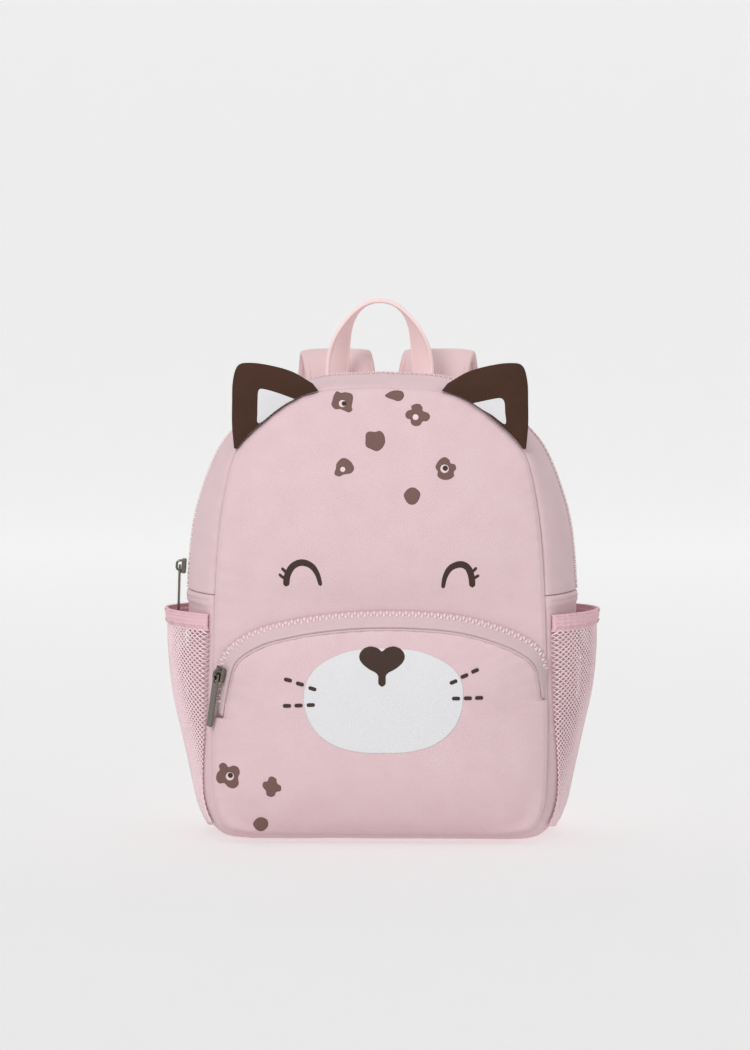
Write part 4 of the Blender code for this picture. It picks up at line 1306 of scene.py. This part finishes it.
# the closed eyes and their lashes, as rows of x, y and width
eyeStrokes = (
    ((286.0, 586.5, 6.2), (287.5, 575.0, 6.4), (293.0, 566.0, 6.5), (302.0, 562.5, 6.5),
     (311.5, 566.0, 5.8), (317.5, 574.5, 4.8), (320.8, 586.0, 3.6)),
    ((442.8, 588.5, 3.6), (445.0, 577.0, 4.8), (450.5, 568.0, 5.8), (460.0, 564.3, 6.5),
     (467.5, 567.5, 6.5), (471.3, 576.0, 6.4), (472.5, 587.5, 6.0)),
    ((287.5, 572.5, 3.6), (284.8, 571.0, 3.0), (281.5, 567.8, 2.6)),
    ((285.0, 578.0, 3.4), (281.8, 576.5, 2.8), (279.0, 573.8, 2.4)),
    ((470.5, 572.0, 3.6), (473.6, 570.5, 3.0), (476.8, 567.5, 2.6)),
    ((473.0, 578.0, 3.4), (476.0, 577.0, 2.8), (479.2, 575.0, 2.4)),
)
eyes = Print(faceTree)
for rows in eyeStrokes:
    eyes.stroke(rows)
eyes.finish("printedEyes", darkInk)

muzzleOutline = (
    (383.5, 648.5), (405, 649.4), (426, 653.7), (448.6, 664.9), (459.8, 677.5), (463.3, 691.5),
    (461.5, 712), (452, 731), (434, 745), (410, 752), (383.5, 753.2), (357, 752), (333, 745), (315, 731),
    (305.5, 712), (303.8, 695), (308, 679), (320, 665), (341, 654), (362, 649.4),
)
muzzle = Print(pocketTree)
muzzle.blob(closedCurve(muzzleOutline, 150), (383.5, 701))
muzzle.finish("printedMuzzle", whiteInk)

# the nose's right half from its notch to the foot of its stem; the left half mirrors it
noseMiddle = 382.0
noseHalf = (
    (0.0, 651.4), (4.5, 648.2), (12.0, 646.5), (19.3, 649.6), (22.7, 656.0), (20.5, 662.6), (13.5, 668.8),
    (6.6, 672.6), (3.9, 675.8), (3.7, 680.0), (3.4, 684.0), (0.0, 686.6),
)
noseOutline = [(noseMiddle + x, y) for x, y in noseHalf]
noseOutline += [(noseMiddle - x, y) for x, y in noseHalf[-2:0:-1]]
nose = Print(pocketTree, printed["over"])
nose.blob(closedCurve(noseOutline, 160), (noseMiddle, 664))
whiskers = (
    # x, y, slope in degrees
    (288.0, 680.0, 15), (300.0, 684.0, 17), (312.4, 688.7, 17),
    (287.0, 705.8, 0), (298.6, 705.5, -1), (310.8, 705.0, -2),
    (453.5, 682.0, -22), (464.4, 676.0, -24), (475.0, 670.8, -24),
    (456.0, 698.5, 0), (467.8, 698.2, -1), (479.0, 697.8, -2),
)
whisker = {"halfLength": 4.2, "width": 3.7}
for x, y, slope in whiskers:
    reachX = whisker["halfLength"] * math.cos(math.radians(slope))
    reachY = whisker["halfLength"] * math.sin(math.radians(slope))
    ends = [(x + k * reachX, y + k * reachY, whisker["width"]) for k in (-1, 0, 1)]
    nose.stroke(ends, count=14, across=5)
nose.finish("printedNoseAndWhiskers", darkInk)

# leopard spots: outline, then a light ring and its dark centre as x, y and radius
faceSpots = (
    (
        ((334, 395), (337, 391.4), (341, 393), (345, 392.4), (351, 393.6), (353, 397), (352.4, 402),
         (351.6, 407), (352.4, 410), (349, 412.4), (345, 411), (340, 409), (335, 409), (331.6, 405),
         (332.6, 400)),
        (342.4, 403.6, 3.6), (344.0, 403.6, 2.3),
    ),
    (
        ((385, 395.5), (388, 393.1), (391, 391.5), (396, 390.5), (402, 391.5), (404, 395.5), (402, 399.5),
         (398, 401.1), (393, 399.5), (388, 397.9)),
        None, None,
    ),
    (
        ((415.4, 404), (420, 404.4), (422.4, 407.6), (422.8, 411), (428, 413), (430, 417), (427, 421),
         (422.6, 421.4), (420, 425), (415, 426), (411.2, 423.6), (410.4, 419.6), (406.6, 418), (405.4, 414),
         (408, 410.6), (411.6, 409.6), (411.4, 406.2)),
        (415.6, 417.2, 3.0), None,
    ),
    (
        ((366, 434), (369, 431.6), (375, 432), (380, 431), (384, 435), (385, 442), (382, 448), (377, 451),
         (371, 449), (366, 446), (365.6, 439)),
        None, None,
    ),
    (
        ((337, 463), (343, 458), (350, 461), (354, 468), (351, 473), (344, 474.4), (339, 476.4), (334.6, 474),
         (336, 468)),
        (342.8, 469.4, 2.6), None,
    ),
    (
        ((440, 459.5), (444.4, 457.2), (449, 459.5), (450.5, 463.3), (454.8, 464.5), (456, 468.5),
         (453.7, 472), (453.8, 476), (450, 479), (445, 479.8), (440.5, 478.6), (437.4, 475.5),
         (437.8, 471.5), (435.6, 467.5), (437, 463.2)),
        (444.6, 468.8, 4.3), (445.2, 468.2, 2.6),
    ),
    (
        ((404, 494), (409, 488.4), (415, 488), (420, 493), (419, 499), (415, 504), (409, 504), (405, 499)),
        None, None,
    ),
)
pocketSpots = (
    (
        ((222.6, 762.7), (226.4, 764.4), (228.6, 767.0), (233.6, 765.6), (238.3, 767.6), (239.8, 772.5),
         (238.1, 777.8), (238.6, 784.4), (234, 788.2), (228.3, 786.9), (224.5, 783.1), (219.4, 783.3),
         (216.4, 779.3), (217, 773.6), (219.8, 770.0), (219.2, 765.5)),
        (230.0, 776.3, 4.1), (230.6, 775.2, 2.6),
    ),
    (
        ((272, 776.5), (276.1, 778.8), (277.1, 783.2), (280.9, 786.3), (280.5, 790.7), (276.3, 792),
         (274.2, 795.8), (270.5, 796.7), (266.7, 794.8), (266.1, 791), (262.7, 786.3), (263.8, 782),
         (267.6, 781.2), (269, 777.8)),
        None, None,
    ),
    (
        ((257.6, 818), (262.9, 817.4), (267.3, 820.2), (268, 825.4), (264.8, 829.6), (260.1, 831),
         (255.3, 828.2), (253.3, 823.1)),
        None, None,
    ),
)
for where, tree, spots in (("Face", faceTree, faceSpots), ("Pocket", pocketTree, pocketSpots)):
    taupe, rings, centres = Print(tree), Print(tree), Print(tree, printed["over"])
    for outline, ring, centre in spots:
        middle = sum((Vector(p) for p in outline), Vector((0, 0))) / len(outline)
        taupe.blob(closedCurve(outline, 90), ring[:2] if ring else middle, ring[2] if ring else 0.0)
        if ring:
            rings.dot(*ring)
        if centre:
            centres.dot(*centre)
    taupe.finish("printedSpots" + where, taupeInk)
    rings.finish("printedSpotRings" + where, paleInk)
    centres.finish("printedSpotCentres" + where, darkInk)
print("prints laid")


# floor, backdrop and light

stage = {
    "colours": ("#f4f4f4", "#f2f2f2"), "wide": 9.0, "front": 5.0, "bend": 2.5, "bendRadius": 1.5, "high": 5.0,
    "glow": 0.375, "air": 0.42,
}


def buildStage():
    profile = [(-stage["front"], 0.0)]
    for turn in spread(0.0, math.pi / 2, 24):
        reach = stage["bendRadius"]
        profile.append((stage["bend"] + reach * math.sin(turn), reach * (1 - math.cos(turn))))
    profile.append((stage["bend"] + stage["bendRadius"], stage["high"]))
    points = [Vector((x, y, z)) for y, z in profile for x in (-stage["wide"], stage["wide"])]
    # matt paper, lit from behind as well: an even pale ground with only a soft shadow
    surface = {"Roughness": 0.9, "Emission Color": linear("#ffffff"), "Emission Strength": stage["glow"]}
    paint = plainMaterial("backdropPaperMatt", stage["colours"], 40.0, 0.0, surface)
    floor = meshPiece("floor", points, gridFaces(len(profile), 2, True), paint, angle=80)
    return floor


def softbox(name, place, targetHeight, size, power, receivers):
    lamp = bpy.data.lights.new(name, "AREA")
    lamp.shape = "RECTANGLE"
    lamp.size, lamp.size_y, lamp.energy = size, size, power
    made = newObject(name, lamp)
    made.light_linking.receiver_collection = receivers
    made.location = place
    made.rotation_mode = "QUATERNION"
    made.rotation_quaternion = (Vector((0.0, 0.0, targetHeight)) - Vector(place)).to_track_quat("-Z", "Y")


floor = buildStage()
bagOnly = bpy.data.collections.new("bagOnly")
for item in bpy.context.scene.objects:
    if item.type == "MESH" and item != floor:
        bagOnly.objects.link(item)
world = bpy.data.worlds.new("studio")
bpy.context.scene.world = world
world.use_nodes = True
world.node_tree.nodes["Background"].inputs["Color"].default_value = linear("#ffffff")
world.node_tree.nodes["Background"].inputs["Strength"].default_value = stage["air"]
softbox("keyLight", (-1.3, -2.6, 1.9), 0.15, 1.2, 45, bagOnly)
softbox("fillLight", (2.2, -2.0, 1.0), 0.15, 1.6, 11, bagOnly)
softbox("topLight", (-0.3, -0.9, 2.6), 0.30, 1.2, 12, bagOnly)
softbox("backLight", (0.8, 2.6, 1.6), 0.20, 1.6, 16, bagOnly)
bpy.context.scene.view_settings.view_transform = "Standard"
print("stage set")
